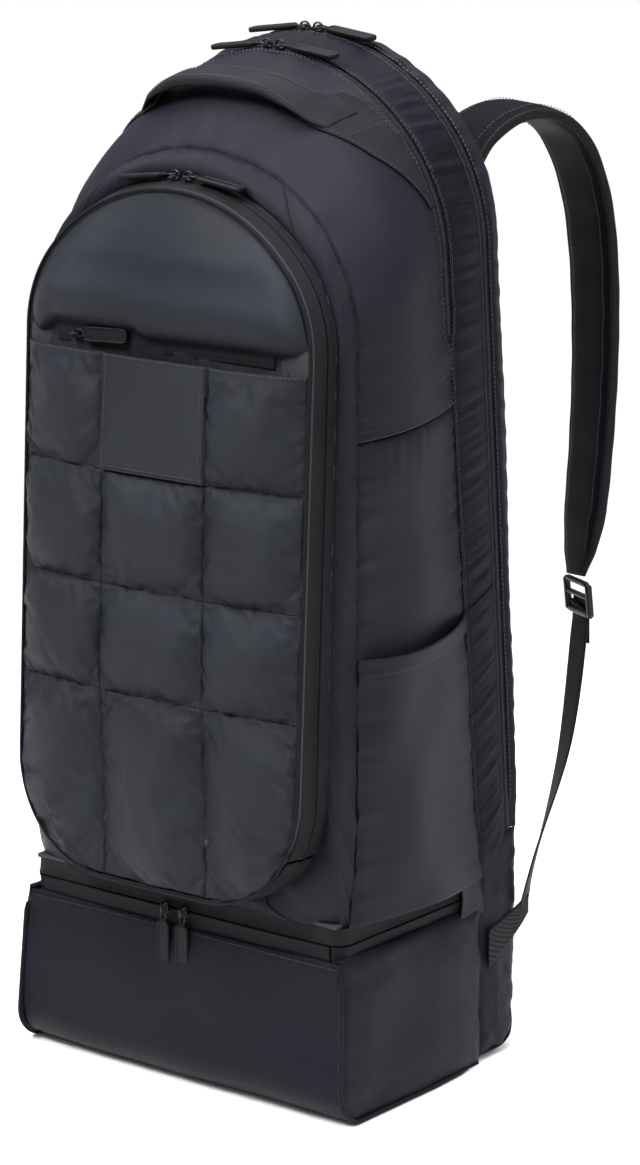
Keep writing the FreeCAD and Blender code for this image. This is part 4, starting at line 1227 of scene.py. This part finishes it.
foot_lines = [rolled_rings[0], rolled_rings[2]]
low = (foot_lines[0][:, 2] < POCKET_FOLD) & (np.abs(foot_lines[0][:, 0]) < 0.062)
foot_grid = sewn(loft([line[low] for line in foot_lines], 15), bulge=0.0016, tuck=0.0,
                 gather=0.0004, slack=0.0003, seed=95)
piece = cloth_piece("pocket_foot_cloth", foot_grid, shell_nylon, wall=0.0012)
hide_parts("pocket_foot")
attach(piece, "main_body")

# ---------------------------------------------------------------- slip pocket
# The quilted panel's hem is open behind, with a zip set just inside it.  A smooth patch is
# stitched over the middle top cell.

slip_low, slip_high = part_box("slip_zip_tape")
share = np.linspace(0.0, 1.0, 81)
slip_x = slip_low.x + (slip_high.x - slip_low.x) * share
slip_rows = [np.stack([slip_x, np.full(81, slip_low.y + 0.0003 - 0.0009 * (k in (3, 5))),
                       np.full(81, z)], axis=-1)
             for k, z in enumerate(np.linspace(slip_low.z, slip_high.z, 9))]
piece = cloth_piece("slip_tape_cloth", np.stack(slip_rows), zip_tape, wall=0.0008)
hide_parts("slip_zip_tape")
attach(piece, "pocket_flap")

# ---------------------------------------------------------------- main zip
# Two ribbed tapes meet over a closed coil.  Above the shoulders the row of teeth shows.

main_first, main_meet, main_meet_rear, main_last = (
    flared(arch_line(MAIN, ZIP_TOP, shift=shift, count=721))
    for shift in (-MAIN_EDGE - 0.001, -0.0001, 0.0001, MAIN_EDGE + 0.001))
piece = zip_half("main_tape_front", main_first, main_meet, 15)
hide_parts("main_zip_tape")
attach(piece, "main_body")
piece = zip_half("main_tape_rear", main_last, main_meet_rear, 15)
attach(piece, "main_body")

coil_metal = moulded("coil", (0.006, 0.006, 0.007), (0.022, 0.022, 0.024), 500.0, 0.38)


def coil(name, line, normals, body, lift=0.0011, off=0.0):
    """The zip's coil: one small loop across the tape every 1.6 mm along a line."""
    centres, slopes, ups = spaced(line, normals, 0.0016)
    across = unit(np.cross(unit(ups), unit(slopes)))
    shape, faces = barrel(0.0030, 0.00058, 0.0005, sides=5)
    piece = rows_of(name, shape, faces, centres + lift * unit(ups) + off * across, across,
                    ups, coil_metal)
    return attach(piece, body)


def side_normals(line):
    """Outward directions across an arch: square to the line and to its plane's normal."""
    along = unit(np.gradient(line, axis=0))
    normal = np.cross(along, np.array([0.0, 1.0, 0.0]))
    flip = ((line - BAG_MIDDLE) * normal).sum() < 0
    return unit(-normal if flip else normal)


chain = arch_line(MAIN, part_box("main_zip_chain")[0].z, count=721)
piece = coil("main_coil", chain, side_normals(chain), "main_body")
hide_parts("main_zip_chain")

# ---------------------------------------------------------------- gathered gusset band
# The deep band between the two big zips is cut longer than its seams and gathered, so fine
# creases run straight across it.

REAR_EDGE = 0.007
REAR_REVEAL = 0.0046
band_front = main_edge(ZIP_TOP, 1.0, count=721)
band_rear = arch_line(REAR, SLEEVE_TOP, grow=0.0015, shift=-REAR_REVEAL, count=721)
band_grid = loft([band_front, band_rear], 33)
across, along = spans(band_grid)
gathers = ripple(0.05 * across, along, 101, 0.03, 0.011, waves=14)
gathers += 0.5 * ripple(across, along, 102, 0.05, 0.007)
width = across[-1, 0]
belly = np.sin(math.pi * across / width) ** 0.6
lift = 0.0026 * belly + 0.00050 * gathers * (0.35 + 0.65 * belly) \
    - 0.0008 * np.exp(-(np.minimum(across, width - across) / 0.003) ** 2)
band_grid = band_grid + lift[..., None] * outward(band_grid)
# The band's darker nylon is painted shade on a band that faces away from the lamps.
piece = cloth_piece("gusset_band_cloth", band_grid, painted_shade_nylon)
# The cross seams are thin cords of the dark piping cloth: painted shade in their folds.
band_cross = [int(np.argmin(np.abs(band_grid[16, :360, 2] - 0.36)))]
band_cross.append(720 - band_cross[0])
crossings = joined("band_cross_seam_shade", [seam_shade_cord(band_grid[1:-1, at] + 0.0004 * outward(
    band_grid)[1:-1, at]) for at in band_cross], piping_and_fold_shade_cloth)
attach(crossings, "main_body")
stitches("band_stitches", [seam_line(band_grid, row) for row in (1, 3, -2, -4)],
         "main_body")
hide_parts("gusset_band")
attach(piece, "main_body")

# ---------------------------------------------------------------- racket zip
# The rear zip joins the gusset band to the back.  Its rear tape belongs to the back, which
# folds open with it.

rear_first, rear_meet, rear_meet_back, rear_last = (
    arch_line(REAR, SLEEVE_TOP + rise, shift=shift, count=721)
    for rise, shift in ((0.0, -REAR_EDGE - 0.0008), (0.0, -0.0002), (0.0004, 0.0002),
                        (0.0004, REAR_EDGE + 0.0008)))
piece = zip_half("racket_tape_front", rear_first, rear_meet, 13)
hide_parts("racket_zip_tape")
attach(piece, "main_body")
piece = zip_half("racket_tape_back", rear_last, rear_meet_back, 13)
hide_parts("door_zip_tape")
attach(piece, "racket_door")
coil("racket_coil", rear_meet, side_normals(rear_meet), "main_body", lift=0.0010,
     off=-0.0006)

# ---------------------------------------------------------------- back of the bag
# The racket compartment's back folds down with its zip undone: a nylon rim that turns
# round to a flat panel, stiffened by a plastic sheet, with padded air mesh on it.

DOOR_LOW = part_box("door_rim")[0].z
BACK_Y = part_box("back_panel")[1].y
rear_line = arch_line(REAR, DOOR_LOW, shift=REAR_REVEAL, count=541)
rim_out = side_normals(rear_line)
rim_deep = (BACK_Y - rear_line[:, 1])[:, None]
steep = rim_deep / 0.044
backwards = np.array([0.0, 1.0, 0.0])
near_foot = np.clip((FLARE_TOP - rear_line[:, 2:]) / 0.045, 0.0, 1.0) ** 2


def rim_ring(out, back):
    """A line that runs beside the rear zip: out from it in the arch's plane and back.  It
    draws in at the foot, where it meets the sleeve."""
    return rear_line + rim_out * (out - 0.0030 * near_foot) + backwards * back


rim_lines = [rim_ring(0.0015, 0.0), rim_ring(0.0042, 0.0035),
             rim_ring(0.0036 - 0.0030 * steep, 0.0035 + 0.010 * steep),
             rim_ring(-0.0010 - 0.0110 * steep, 0.60 * rim_deep),
             rim_ring(-0.0040 - 0.0185 * steep, 0.88 * rim_deep),
             rim_ring(-0.0090 - 0.0270 * steep, rim_deep)]
rim_grid = sewn(loft(rim_lines, 41), bulge=0.0, tuck=0.0007, slack=0.0010, gather=0.0006,
                seed=111)
piece = cloth_piece("door_rim_cloth", rim_grid, shell_nylon)
stitches("rim_stitches", [seam_line(rim_grid, row) for row in (1, 3)], "racket_door")
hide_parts("door_rim")
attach(piece, "racket_door")

back_x = np.linspace(-1.0, 1.0, 101)[None]
outline = rim_lines[-1][:271]
PANEL_CROWN = outline[-1, 2]
back_z = DOOR_LOW + (PANEL_CROWN - 0.0005 - DOOR_LOW) \
    * (1 - (1 - np.linspace(0.0, 1.0, 141)) ** 1.8)[:, None]
half_at = np.interp(back_z[:, 0], outline[:, 2], outline[:, 0])[:, None]
back_grid = np.stack([back_x * half_at, np.full((141, 101), BACK_Y + 0.0006),
                      np.broadcast_to(back_z, (141, 101))], axis=-1)
near = np.minimum((1 - np.abs(back_x)) * half_at, PANEL_CROWN - back_z)
back_grid[..., 1] += 0.0018 * np.clip(near / 0.03, 0, 1) \
    + 0.0006 * ripple(back_grid[..., 0], back_grid[..., 2], 121, 0.08, 0.09) \
    * np.clip(near / 0.02, 0, 1)
piece = cloth_piece("back_panel_cloth", back_grid, shell_nylon)
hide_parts("back_panel")
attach(piece, "racket_door")


def mesh_material(name, dark, light, pitch):
    """Spacer mesh: a honeycomb of small open cells, dark inside each cell as painted shade and
    lighter on the walls.
    """
    material, tree, shader = new_material(name)
    uv = add_node(tree, "ShaderNodeUVMap")
    uv.uv_map = "UVMap"
    cells = add_node(tree, "ShaderNodeTexVoronoi", uv.outputs[0], Scale=1.0 / pitch,
                     Randomness=0.25)
    cells.feature = "DISTANCE_TO_EDGE"
    wall = maths(tree, "SUBTRACT", 1.0, maths(tree, "MULTIPLY",
                                              cells.outputs["Distance"], 2.6))
    # Colour from the wall mask: the cells' hollows darker as painted shade, the walls lighter.
    dyed(tree, shader, wall, dark, light, 0.25, 0.75)
    shader.inputs["Roughness"].default_value = 0.85
    embossed(tree, shader, wall, 0.0008, Strength=0.8)
    return material


air_mesh = mesh_material("air_mesh", (0.004, 0.004, 0.005), (0.035, 0.036, 0.040), 0.0036)


def pad_grid(x0, x1, z0, z1, base, height):
    """A crowned pad on the back: over a rounded-square footprint the height rises fast at
    the border and gently to the middle."""
    corner = 3.2
    side_u = np.sin(np.linspace(-math.pi / 2, math.pi / 2, 61))[None]
    side_v = np.sin(np.linspace(-math.pi / 2, math.pi / 2, 122))[:, None]
    reach = (np.abs(side_u) ** corner + np.abs(side_v) ** corner) ** (1 / corner)
    largest = np.maximum(np.maximum(np.abs(side_u), np.abs(side_v)), 1e-9)
    round_off = largest / np.maximum(reach, 1e-9)
    x = (x0 + x1) / 2 + (x1 - x0) / 2 * side_u * round_off
    z = (z0 + z1) / 2 + (z1 - z0) / 2 * side_v * round_off
    inner = (1 - largest) * (x1 - x0) / 2
    lift = height * (1 - np.exp(-inner / 0.006))
    return np.stack([x, base + lift, z], axis=-1), lift / height


pad_low, pad_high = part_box("back_pads")
for sign, label in BOTH_SIDES:
    inner, outer = sorted((sign * 0.014, sign * pad_high.x))
    grid, fill = pad_grid(inner, outer, pad_low.z, pad_high.z, BACK_Y + 0.0008, 0.011)
    grooves = np.abs((grid[..., 2] - pad_low.z) / 0.062 % 1.0 - 0.5) * 0.062
    grid[..., 1] -= 0.0030 * np.exp(-(grooves / 0.0035) ** 2) * fill
    pad_piece = cloth_piece("back_pad_" + label, grid, air_mesh, wall=0.0010,
                            middle=np.array([0.0, 0.0, 0.43]))
    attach(pad_piece, "racket_door")
    if sign > 0:
        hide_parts("back_pads")

# ---------------------------------------------------------------- carrying handle
# A folded webbing grip, sewn down on two broad reinforcement patches of smooth tape that
# run out beside the main zip.

patch_tape = cloth("patch_tape", (0.0045, 0.0042, 0.0060), (0.0120, 0.0115, 0.0150), 0.36,
                   0.0006, bump=0.0003, crumple=1.0)
top_out = outward(top_grid)
half_columns = (top_grid.shape[1] - 1) // 2
ROOT_ROW = 27
ROOT_X = 0.083


def root_point(x, lift):
    """A point of the top panel at a distance to the right of the middle, and lifted."""
    column = int(np.argmin(np.abs(top_grid[ROOT_ROW, :half_columns, 0] - x)))
    return top_grid[ROOT_ROW, column] + lift * top_out[ROOT_ROW, column]


grip_half = [root_point(0.0890, 0.0008), root_point(0.0820, 0.0022),
             (0.0752, -0.0420, 0.7226), (0.0650, -0.0480, 0.7280),
             (0.0500, -0.0515, 0.7338), (0.0330, -0.0535, 0.7385)]
grip_half = np.array([tuple(point) for point in grip_half])
mirror = np.array([-1.0, 1.0, 1.0])
grip_path = smooth_line(np.concatenate([grip_half * mirror, [[0.0, -0.0560, 0.7412]],
                                        grip_half[::-1]]), 141)
root_column = int(np.argmin(np.abs(top_grid[ROOT_ROW, :half_columns, 0] - ROOT_X)))
root_side = unit(top_grid[ROOT_ROW + 5, root_column] - top_grid[ROOT_ROW - 5, root_column])
middle_side = np.array([0.0, math.cos(math.radians(11)), math.sin(math.radians(11))])
from_middle = np.abs(np.linspace(-1, 1, 141))[:, None]
near_root = np.clip((from_middle - 0.40) / 0.45, 0.0, 1.0) ** 1.2
flip = np.where(np.linspace(-1, 1, 141)[:, None] < 0, mirror, 1.0)
side = unit(middle_side * (1 - near_root) + root_side * flip * near_root)
along = unit(np.gradient(grip_path, axis=0))
side = unit(side - along * (side * along).sum(axis=1, keepdims=True))
up = np.cross(along, side)
up = up if up[70, 2] > 0 else -up
from_middle = from_middle[:, 0]
wide = 0.0145 - 0.0008 * np.exp(-(from_middle / 0.5) ** 2)
high = 0.0009 + 0.0042 * np.exp(-(from_middle / 0.66) ** 6)
skin = swept(grip_path, side, up, wide, high, 3.0, 28)
grip = closed_piece("handle_grip_webbing", skin, patch_tape)
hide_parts("handle_grip")
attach(grip, "main_body")
stitches("grip_stitches",
         [(grip_path[8:-8] + side[8:-8] * (sign * (wide[8:-8] - 0.0028))[:, None]
           + up[8:-8] * (high[8:-8] * 0.93)[:, None], up[8:-8]) for sign in (-1.0, 1.0)],
         "main_body", lift=0.0001)

PATCH_ROWS = 25


def patch_grid(sign):
    """A strip of the top panel's own surface, between a lower and an upper edge that
    close together as they run down beside the zip, lifted by its thickness."""
    columns = top_grid.shape[1]
    x_at = np.abs(top_grid[-1, :half_columns + 1, 0])
    z_at = top_grid[-1, :half_columns + 1, 2]
    first = int(np.argmin(np.abs(z_at - 0.655)))
    last = int(np.argmin(np.abs(x_at - 0.0765)))
    run = np.linspace(first, last, 61)
    share = (run - first) / (last - first)
    low_edge = np.interp(share, (0.0, 0.48, 0.85, 1.0), (0.88, 0.60, 0.475, 0.46))
    high_edge = np.interp(share, (0.0, 0.48, 0.85, 1.0), (0.93, 0.925, 0.87, 0.755))
    fill = np.linspace(0.0, 1.0, PATCH_ROWS)[:, None]
    rows = (low_edge + (high_edge - low_edge) * fill) * (top_grid.shape[0] - 1)
    line = np.broadcast_to(run, rows.shape)
    if sign < 0:
        line = columns - 1 - line
    grid = sample(top_grid, rows, line)
    over_grip = np.clip((share - 0.82) / 0.15, 0.0, 1.0)[None, :, None]
    return grid + (0.0016 + 0.0020 * over_grip) * outward(grid)


for sign, label in BOTH_SIDES:
    grid = patch_grid(sign)
    normals = outward(grid)
    stitches("patch_stitches_" + label,
             [(grid[1, 1:-1], normals[1, 1:-1]), (grid[-2, 1:-1], normals[-2, 1:-1]),
              (grid[2:-2, 40], normals[2:-2, 40]), (grid[2:-2, -2], normals[2:-2, -2])],
             "main_body", pitch=0.0042)
    piece = cloth_piece("handle_patch_" + label, grid, patch_tape, wall=0.0012)
    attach(piece, "main_body")
    if sign > 0:
        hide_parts("handle_patches")

# ---------------------------------------------------------------- shoulder straps
# Each strap is a padded band with a nylon face, sewn to the back's yoke, curving over the
# shoulder.  Its end holds a moulded ladder lock.

# The strap nylon is darker than the shell nylon as painted shade on straps that face away from
# the lamps.
strap_nylon_painted_shade = cloth("strap_nylon_painted_shade", (0.0010, 0.0008, 0.0020), (0.0034, 0.0027, 0.0056), 0.46,
                    0.0009, bump=0.0003, specular=0.05)
STRAP_HALF = 0.0265
STRAP_POINTS = [(-0.012, -0.060), (0.004, -0.034), (0.026, -0.006), (0.060, 0.010),
                (0.098, 0.008), (0.130, -0.014), (0.150, -0.056), (0.158, -0.110),
                (0.158, -0.180), (0.152, -0.250), (0.143, -0.310), (0.133, -0.352)]
LOCK_TWIST = 18


def strap_frame(sign):
    """Where a strap is rooted, and how it is turned: a little outwards and splayed."""
    place = Matrix.Translation((sign * 0.070, BACK_Y, 0.690))
    turn = Matrix.Rotation(math.radians(-10 * sign), 4, "Z")
    tilt = Matrix.Rotation(math.radians(-2.5 * sign), 4, "Y")
    return np.array(place @ turn @ tilt)


def carried(points, place):
    return points @ place[:3, :3].T + place[:3, 3]


def lock_place(sign):
    """The ladder lock's own frame at the strap's lower end, twisted as the strap is."""
    hang = Matrix.Translation((0.0, 0.134, -0.354)) @ Matrix.Rotation(
        math.radians(5), 4, "X") @ Matrix.Rotation(math.radians(-LOCK_TWIST * sign), 4, "Z")
    return strap_frame(sign) @ np.array(hang)


for sign, label in BOTH_SIDES:
    place = strap_frame(sign)
    body_line = carried(smooth_line([(0.0, y, z) for y, z in STRAP_POINTS], 161), place)
    across_strap = place[:3, 0]
    along = unit(np.gradient(body_line, axis=0))
    face = unit(np.cross(across_strap, along))
    share = np.linspace(0.0, 1.0, 161)
    twist = np.radians(np.interp(share, (0.0, 0.2, 0.6, 1.0), (0, 4, 10, LOCK_TWIST)))
    across_strap = (np.cos(twist)[:, None] * across_strap
                    - sign * np.sin(twist)[:, None] * face)
    face = unit(np.cross(across_strap, along))
    wide = STRAP_HALF * np.interp(share, (0, 0.04, 0.9, 0.965, 1.0),
                                  (1.0, 1.0, 1.0, 0.80, 0.46))
    high = 0.0062 * np.interp(share, (0, 0.03, 0.10, 0.92, 0.97, 1.0),
                              (0.35, 0.45, 1.0, 1.0, 0.6, 0.3))
    high = high * (1 + 0.05 * np.sin(share * 90))
    skin = swept(body_line, across_strap, face, wide, high, 3.2, 36)
    strap = closed_piece("shoulder_strap_" + label, skin, strap_nylon_painted_shade)
    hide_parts("strap_" + label)
    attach(strap, "racket_door")
    for edge in (-1.0, 1.0):
        rim_line = body_line + across_strap * (edge * (wide - 0.0006))[:, None]
        piece = closed_piece(
            "strap_binding_%s_%s" % (label, "out" if edge > 0 else "in"),
            swept(rim_line, across_strap, face, 0.0022, np.maximum(high * 0.62, 0.0016),
                  2.6, 14), webbing_cloth)
        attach(piece, "racket_door")
    stitches("strap_stitches_" + label,
             [(body_line[6:-6] + across_strap[6:-6] * (edge * (wide[6:-6] - 0.0075))[:, None]
               + face[6:-6] * (way * high[6:-6] * 0.965)[:, None], way * face[6:-6])
              for edge in (-1.0, 1.0) for way in (-1.0, 1.0)], "racket_door")

# ---------------------------------------------------------------- ladder locks
# A black moulded buckle at the strap's end: a frame with two side rails and three bars,
# the webbing led round the middle one.

buckle_plastic = moulded("buckle_plastic", (0.003, 0.003, 0.004), (0.009, 0.009, 0.011),
                         1400.0, 0.25, uneven=0.25, detail=3.0, bump=0.00006, specular=0.25)


def bar(start, end, wide, high, side, power=3.0, sides=14, count=13):
    """A straight bar with rounded ends between two points."""
    start, end, side = (np.array(v, float) for v in (start, end, side))
    line = start + (end - start) * np.linspace(0.0, 1.0, count)[:, None]
    along = unit(end - start)
    side = unit(side - along * (side @ along))
    up = np.cross(side, along)
    share = np.abs(np.linspace(-1.0, 1.0, count))
    ends = np.sqrt(np.clip(1.0 - np.clip((share - 0.82) / 0.18, 0, 0.97) ** 2, 0.0, 1.0))
    return swept(line, side, up, wide * ends, high * ends, power, sides)


for sign, label in BOTH_SIDES:
    turn = lock_place(sign)
    cross = turn[:3, 0]
    rails = [np.array([[x, 0.0, -0.0016], [x, 0.0, -0.0300]]) for x in (-0.0180, 0.0180)]
    skins = [bar(*carried(rail, turn), 0.0026, 0.0026, cross) for rail in rails]
    for z, thick in ((-0.0030, 0.0022), (-0.0135, 0.0019), (-0.0275, 0.0026)):
        ends = np.array([[-0.0185, 0.0, z], [0.0185, 0.0, z]])
        skins.append(bar(*carried(ends, turn), thick, 0.0022, turn[:3, 2]))
    lock = joined("ladder_lock_frame_" + label, skins, buckle_plastic)
    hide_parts("ladder_lock_" + label)
    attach(lock, "racket_door")

# ---------------------------------------------------------------- strap webbing
# Flat ribbed webbing runs from the lock down to a folded triangular anchor that is sewn
# into the side of the racket sleeve.

for sign, label in BOTH_SIDES:
    turn = lock_place(sign)
    start = carried(np.array([[0.0, 0.0, -0.0215]]), turn)[0]
    end = np.array([sign * (SLEEVE_HALF + 0.0006), BACK_Y + 0.006, 0.110])
    middle = start + (end - start) * 0.5 + np.array([sign * 0.002, 0.014, 0.0])
    line = smooth_line([start, start + (0, 0.001, -0.02), middle,
                        end + (0, 0.012, 0.03), end], 91)
    cross = turn[:3, 0]
    share = np.linspace(0.0, 1.0, 91)[:, None]
    side = unit(cross * (1 - share) + np.array([sign * 0.30, -0.45, 0.80]) * share ** 2)
    along = unit(np.gradient(line, axis=0))
    side = unit(side - along * (side * along).sum(axis=1, keepdims=True))
    skin = swept(line, side, np.cross(side, along), 0.0122, 0.0010, 4.0, 20)
    piece = closed_piece("strap_webbing_" + label, skin, webbing_cloth)
    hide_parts("webbing_" + label)
    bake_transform(piece)
    tail = smooth_line([start + (0, 0.0022, 0.004), start + (0, 0.0042, -0.008),
                        start + (0, 0.0048, -0.020), start + (0, 0.0050, -0.030)], 41)
    along = unit(np.gradient(tail, axis=0))
    side = unit(cross - along * (along @ cross)[:, None])
    piece = closed_piece("webbing_tail_" + label,
                         swept(tail, side, np.cross(side, along), 0.0118, 0.0010, 4.0, 20),
                         webbing_cloth)
    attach(piece, "racket_door")
    anchor_rows = [np.linspace((sign * (SLEEVE_HALF - inset), y, low),
                               (sign * (SLEEVE_HALF - inset), y, high), 15)
                   for inset, y, low, high in ((0.0, 0.0665, 0.0735, 0.1030),
                                               (0.0, 0.090, 0.0860, 0.1095),
                                               (0.0, 0.108, 0.0975, 0.1150),
                                               (0.001, 0.1185, 0.1045, 0.1185))]
    grid = loft(anchor_rows, 31)
    grid[..., 0] += sign * 0.0045
    piece = cloth_piece("strap_anchor_" + label, grid, webbing_cloth, wall=0.0018,
                        turned=sign < 0)
    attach(piece, "main_body")
    if sign > 0:
        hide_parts("strap_anchors")

# ---------------------------------------------------------------- zip sliders and pulls
# Die-cast sliders in dark enamel.  A wire loop joins each to a moulded rubber pull with a
# raised rim and an open end.

slider_metal = moulded("slider_metal", (0.006, 0.006, 0.007), (0.030, 0.030, 0.033), 350.0,
                       0.2, uneven=0.3, detail=5.0, metallic=0.7)
pull_rubber = moulded("pull_rubber", (0.0018, 0.0018, 0.0026), (0.0060, 0.0058, 0.0078),
                      1100.0, 0.5, bump=0.0001, specular=0.16)

joints = {joint["name"]: joint for joint in frame["joints"]}
X, Y, Z = np.eye(3)


def slider_place(name):
    """A slider's own frame: X along the chain towards the pull, Y along the pull's pin and
    Z away from the tape, with the pin at the origin."""
    pin = joints[name + "_pull_hinge"]
    run = joints[name + "_zip"]
    pivot = np.array(pin["pos_m"], float)
    across = -unit(np.array(pin["axis"], float))
    if run["type"] == "hinge":
        away = pivot - np.array(run["pos_m"], float)
    else:
        away = np.array([0.0, -1.0, 0.0])
    away = unit(away - across * (away @ across))
    place = np.eye(4)
    place[:3, 0] = np.cross(across, away)
    place[:3, 1] = across
    place[:3, 2] = away
    place[:3, 3] = pivot
    return place


def slider_skins():
    """Two plates joined by a nose, and a bridge over the pin."""
    plate_line = np.linspace((-0.0046, 0.0, -0.0028), (0.0046, 0.0, -0.0028), 15)
    share = np.linspace(0.0, 1.0, 15)
    plate_wide = 0.0040 * np.interp(share, (0, 0.1, 0.35, 0.8, 0.93, 1.0),
                                    (0.55, 0.72, 0.80, 1.0, 0.95, 0.6))
    plate = swept(plate_line, Y, Z, plate_wide, 0.0009 * np.interp(
        share, (0, 0.08, 0.92, 1), (0.5, 1, 1, 0.5)), 3.2, 18)
    bridge_line = smooth_line([(-0.0040, 0, -0.0024), (-0.0036, 0, 0.0004),
                               (-0.0016, 0, 0.0021), (0.0012, 0, 0.0021),
                               (0.0034, 0, 0.0006), (0.0040, 0, -0.0022)], 19)
    along = unit(np.gradient(bridge_line, axis=0))
    bridge = swept(bridge_line, np.broadcast_to(Y, along.shape), np.cross(along, Y), 0.0011,
                   0.00065, 3.0, 12)
    ears = [bar((-0.0030, y, -0.0016), (0.0030, y, -0.0016), 0.0006, 0.0011, Y)
            for y in (-0.0031, 0.0031)]
    return [plate, bridge, *ears]


def pull_skins():
    """A wire loop round the pin, and a tapered tab with a raised rim and a hole."""
    turn = np.linspace(0.0, 2 * math.pi, 29)
    loop_line = np.stack([0.0042 - 0.0050 * np.cos(turn), 0.0021 * np.sin(turn),
                          0.0 * turn], axis=-1)
    along = unit(np.gradient(loop_line, axis=0))
    loop_skin = swept(loop_line, np.cross(along, Z), np.broadcast_to(Z, along.shape),
                      0.00062, 0.00062, 2.0, 8)
    share = np.linspace(0.0, 1.0, 41)
    body_line = np.stack([0.0070 + 0.0380 * share, 0 * share, 0 * share], axis=-1)
    body_wide = 0.0050 * np.interp(share, (0, 0.04, 0.12, 0.95, 0.985, 1.0),
                                   (0.40, 0.55, 0.92, 1.0, 0.9, 0.6))
    body_high = 0.00125 * np.interp(share, (0, 0.05, 0.95, 1.0), (0.7, 1.0, 1.0, 0.6))
    tab = swept(body_line, Y, Z, body_wide, body_high, 4.0, 24)
    half_rim = np.array([(0.0098, 0.0, 0.0), (0.0098, 0.0037, 0.0), (0.0130, 0.0042, 0.0),
                         (0.0280, 0.0042, 0.0), (0.0432, 0.0042, 0.0),
                         (0.0444, 0.0030, 0.0), (0.0446, 0.0, 0.0)])
    other_half = half_rim[-2::-1] * (1.0, -1.0, 1.0)
    rim_line = resampled(np.concatenate([half_rim, other_half]), 61)
    along = unit(np.gradient(rim_line, axis=0))
    rim = swept(rim_line, np.cross(along, Z), np.broadcast_to(Z, along.shape), 0.0010,
                0.0019, 2.6, 8)
    ridges = [bar((x, -0.0030, 0.0), (x, 0.0030, 0.0), 0.00045, 0.0016, X, 2.0, 6, 7)
              for x in (0.0118, 0.0134, 0.0150, 0.0166)]
    return [loop_skin], [tab, rim, *ridges]


NAMES = ["main_left", "main_right", "racket_left", "racket_right", "pocket_left",
         "pocket_right", "shoe_left", "shoe_right", "slip"]
DIP = math.radians(5)
SLIP_TILT = 3
dip_turn = np.array(Matrix.Rotation(DIP, 4, "Y"))
for name in NAMES:
    place = slider_place(name)
    piece = joined(name + "_slider_cast", [carried(skin, place) for skin in slider_skins()],
                   slider_metal)
    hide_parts(name + "_slider")
    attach(piece, name + "_slider")
    dipped = place if name in ("slip", "shoe_left", "shoe_right") else place @ dip_turn
    if name == "slip":
        dipped = place @ np.array(Matrix.Rotation(math.radians(SLIP_TILT), 4, "Z"))
    loop_skins, tab_skins = [[skin * (1.12, 1.12, 1.0) for skin in skins]
                             for skins in pull_skins()]
    piece = joined(name + "_pull_loop", [carried(skin, dipped) for skin in loop_skins],
                   slider_metal)
    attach(piece, name + "_pull")
    piece = joined(name + "_pull_tab", [carried(skin, dipped) for skin in tab_skins],
                   pull_rubber)
    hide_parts(name + "_pull")
    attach(piece, name + "_pull")

# ---------------------------------------------------------------- inside of the bag
# The walls between the compartments are lined cloth over thin board, and the base is held
# flat by a fibre board.


def inner_finish(name, dark, light, scale, rough):
    """A finish for an inner board or lining, mottled and finely ribbed."""
    material, tree, shader = new_material(name)
    place = add_node(tree, "ShaderNodeTexCoord")
    noise = add_node(tree, "ShaderNodeTexNoise", place.outputs["Object"], Scale=scale,
                     Detail=6.0)
    ribs = add_node(tree, "ShaderNodeTexWave", place.outputs["Object"], Scale=260.0,
                    Distortion=0.6)
    mixed = maths(tree, "MULTIPLY_ADD", ribs.outputs["Fac"], 0.35,
                  maths(tree, "MULTIPLY", noise.outputs["Fac"], 0.7))
    dyed(tree, shader, mixed, dark, light)
    tree.links.new(maths(tree, "MULTIPLY_ADD", noise.outputs["Fac"], 0.2, rough),
                   shader.inputs["Roughness"])
    embossed(tree, shader, mixed, 0.0002)
    return material


lining_wall = inner_finish("lining_wall", (0.008, 0.008, 0.010), (0.020, 0.020, 0.024),
                           90.0, 0.65)
board_grey = inner_finish("board_grey", (0.020, 0.019, 0.019), (0.045, 0.044, 0.043),
                          140.0, 0.6)
for node, material in (("front_wall", lining_wall), ("main_divider", lining_wall),
                       ("compartment_floor", lining_wall), ("backing_panel", lining_wall),
                       ("base_board", board_grey), ("frame_sheet", board_grey)):
    mesh = frame["nodes"][node].data
    mesh.materials.clear()
    mesh.materials.append(material)

# ---------------------------------------------------------------- final update of the scene

bpy.context.view_layer.update()
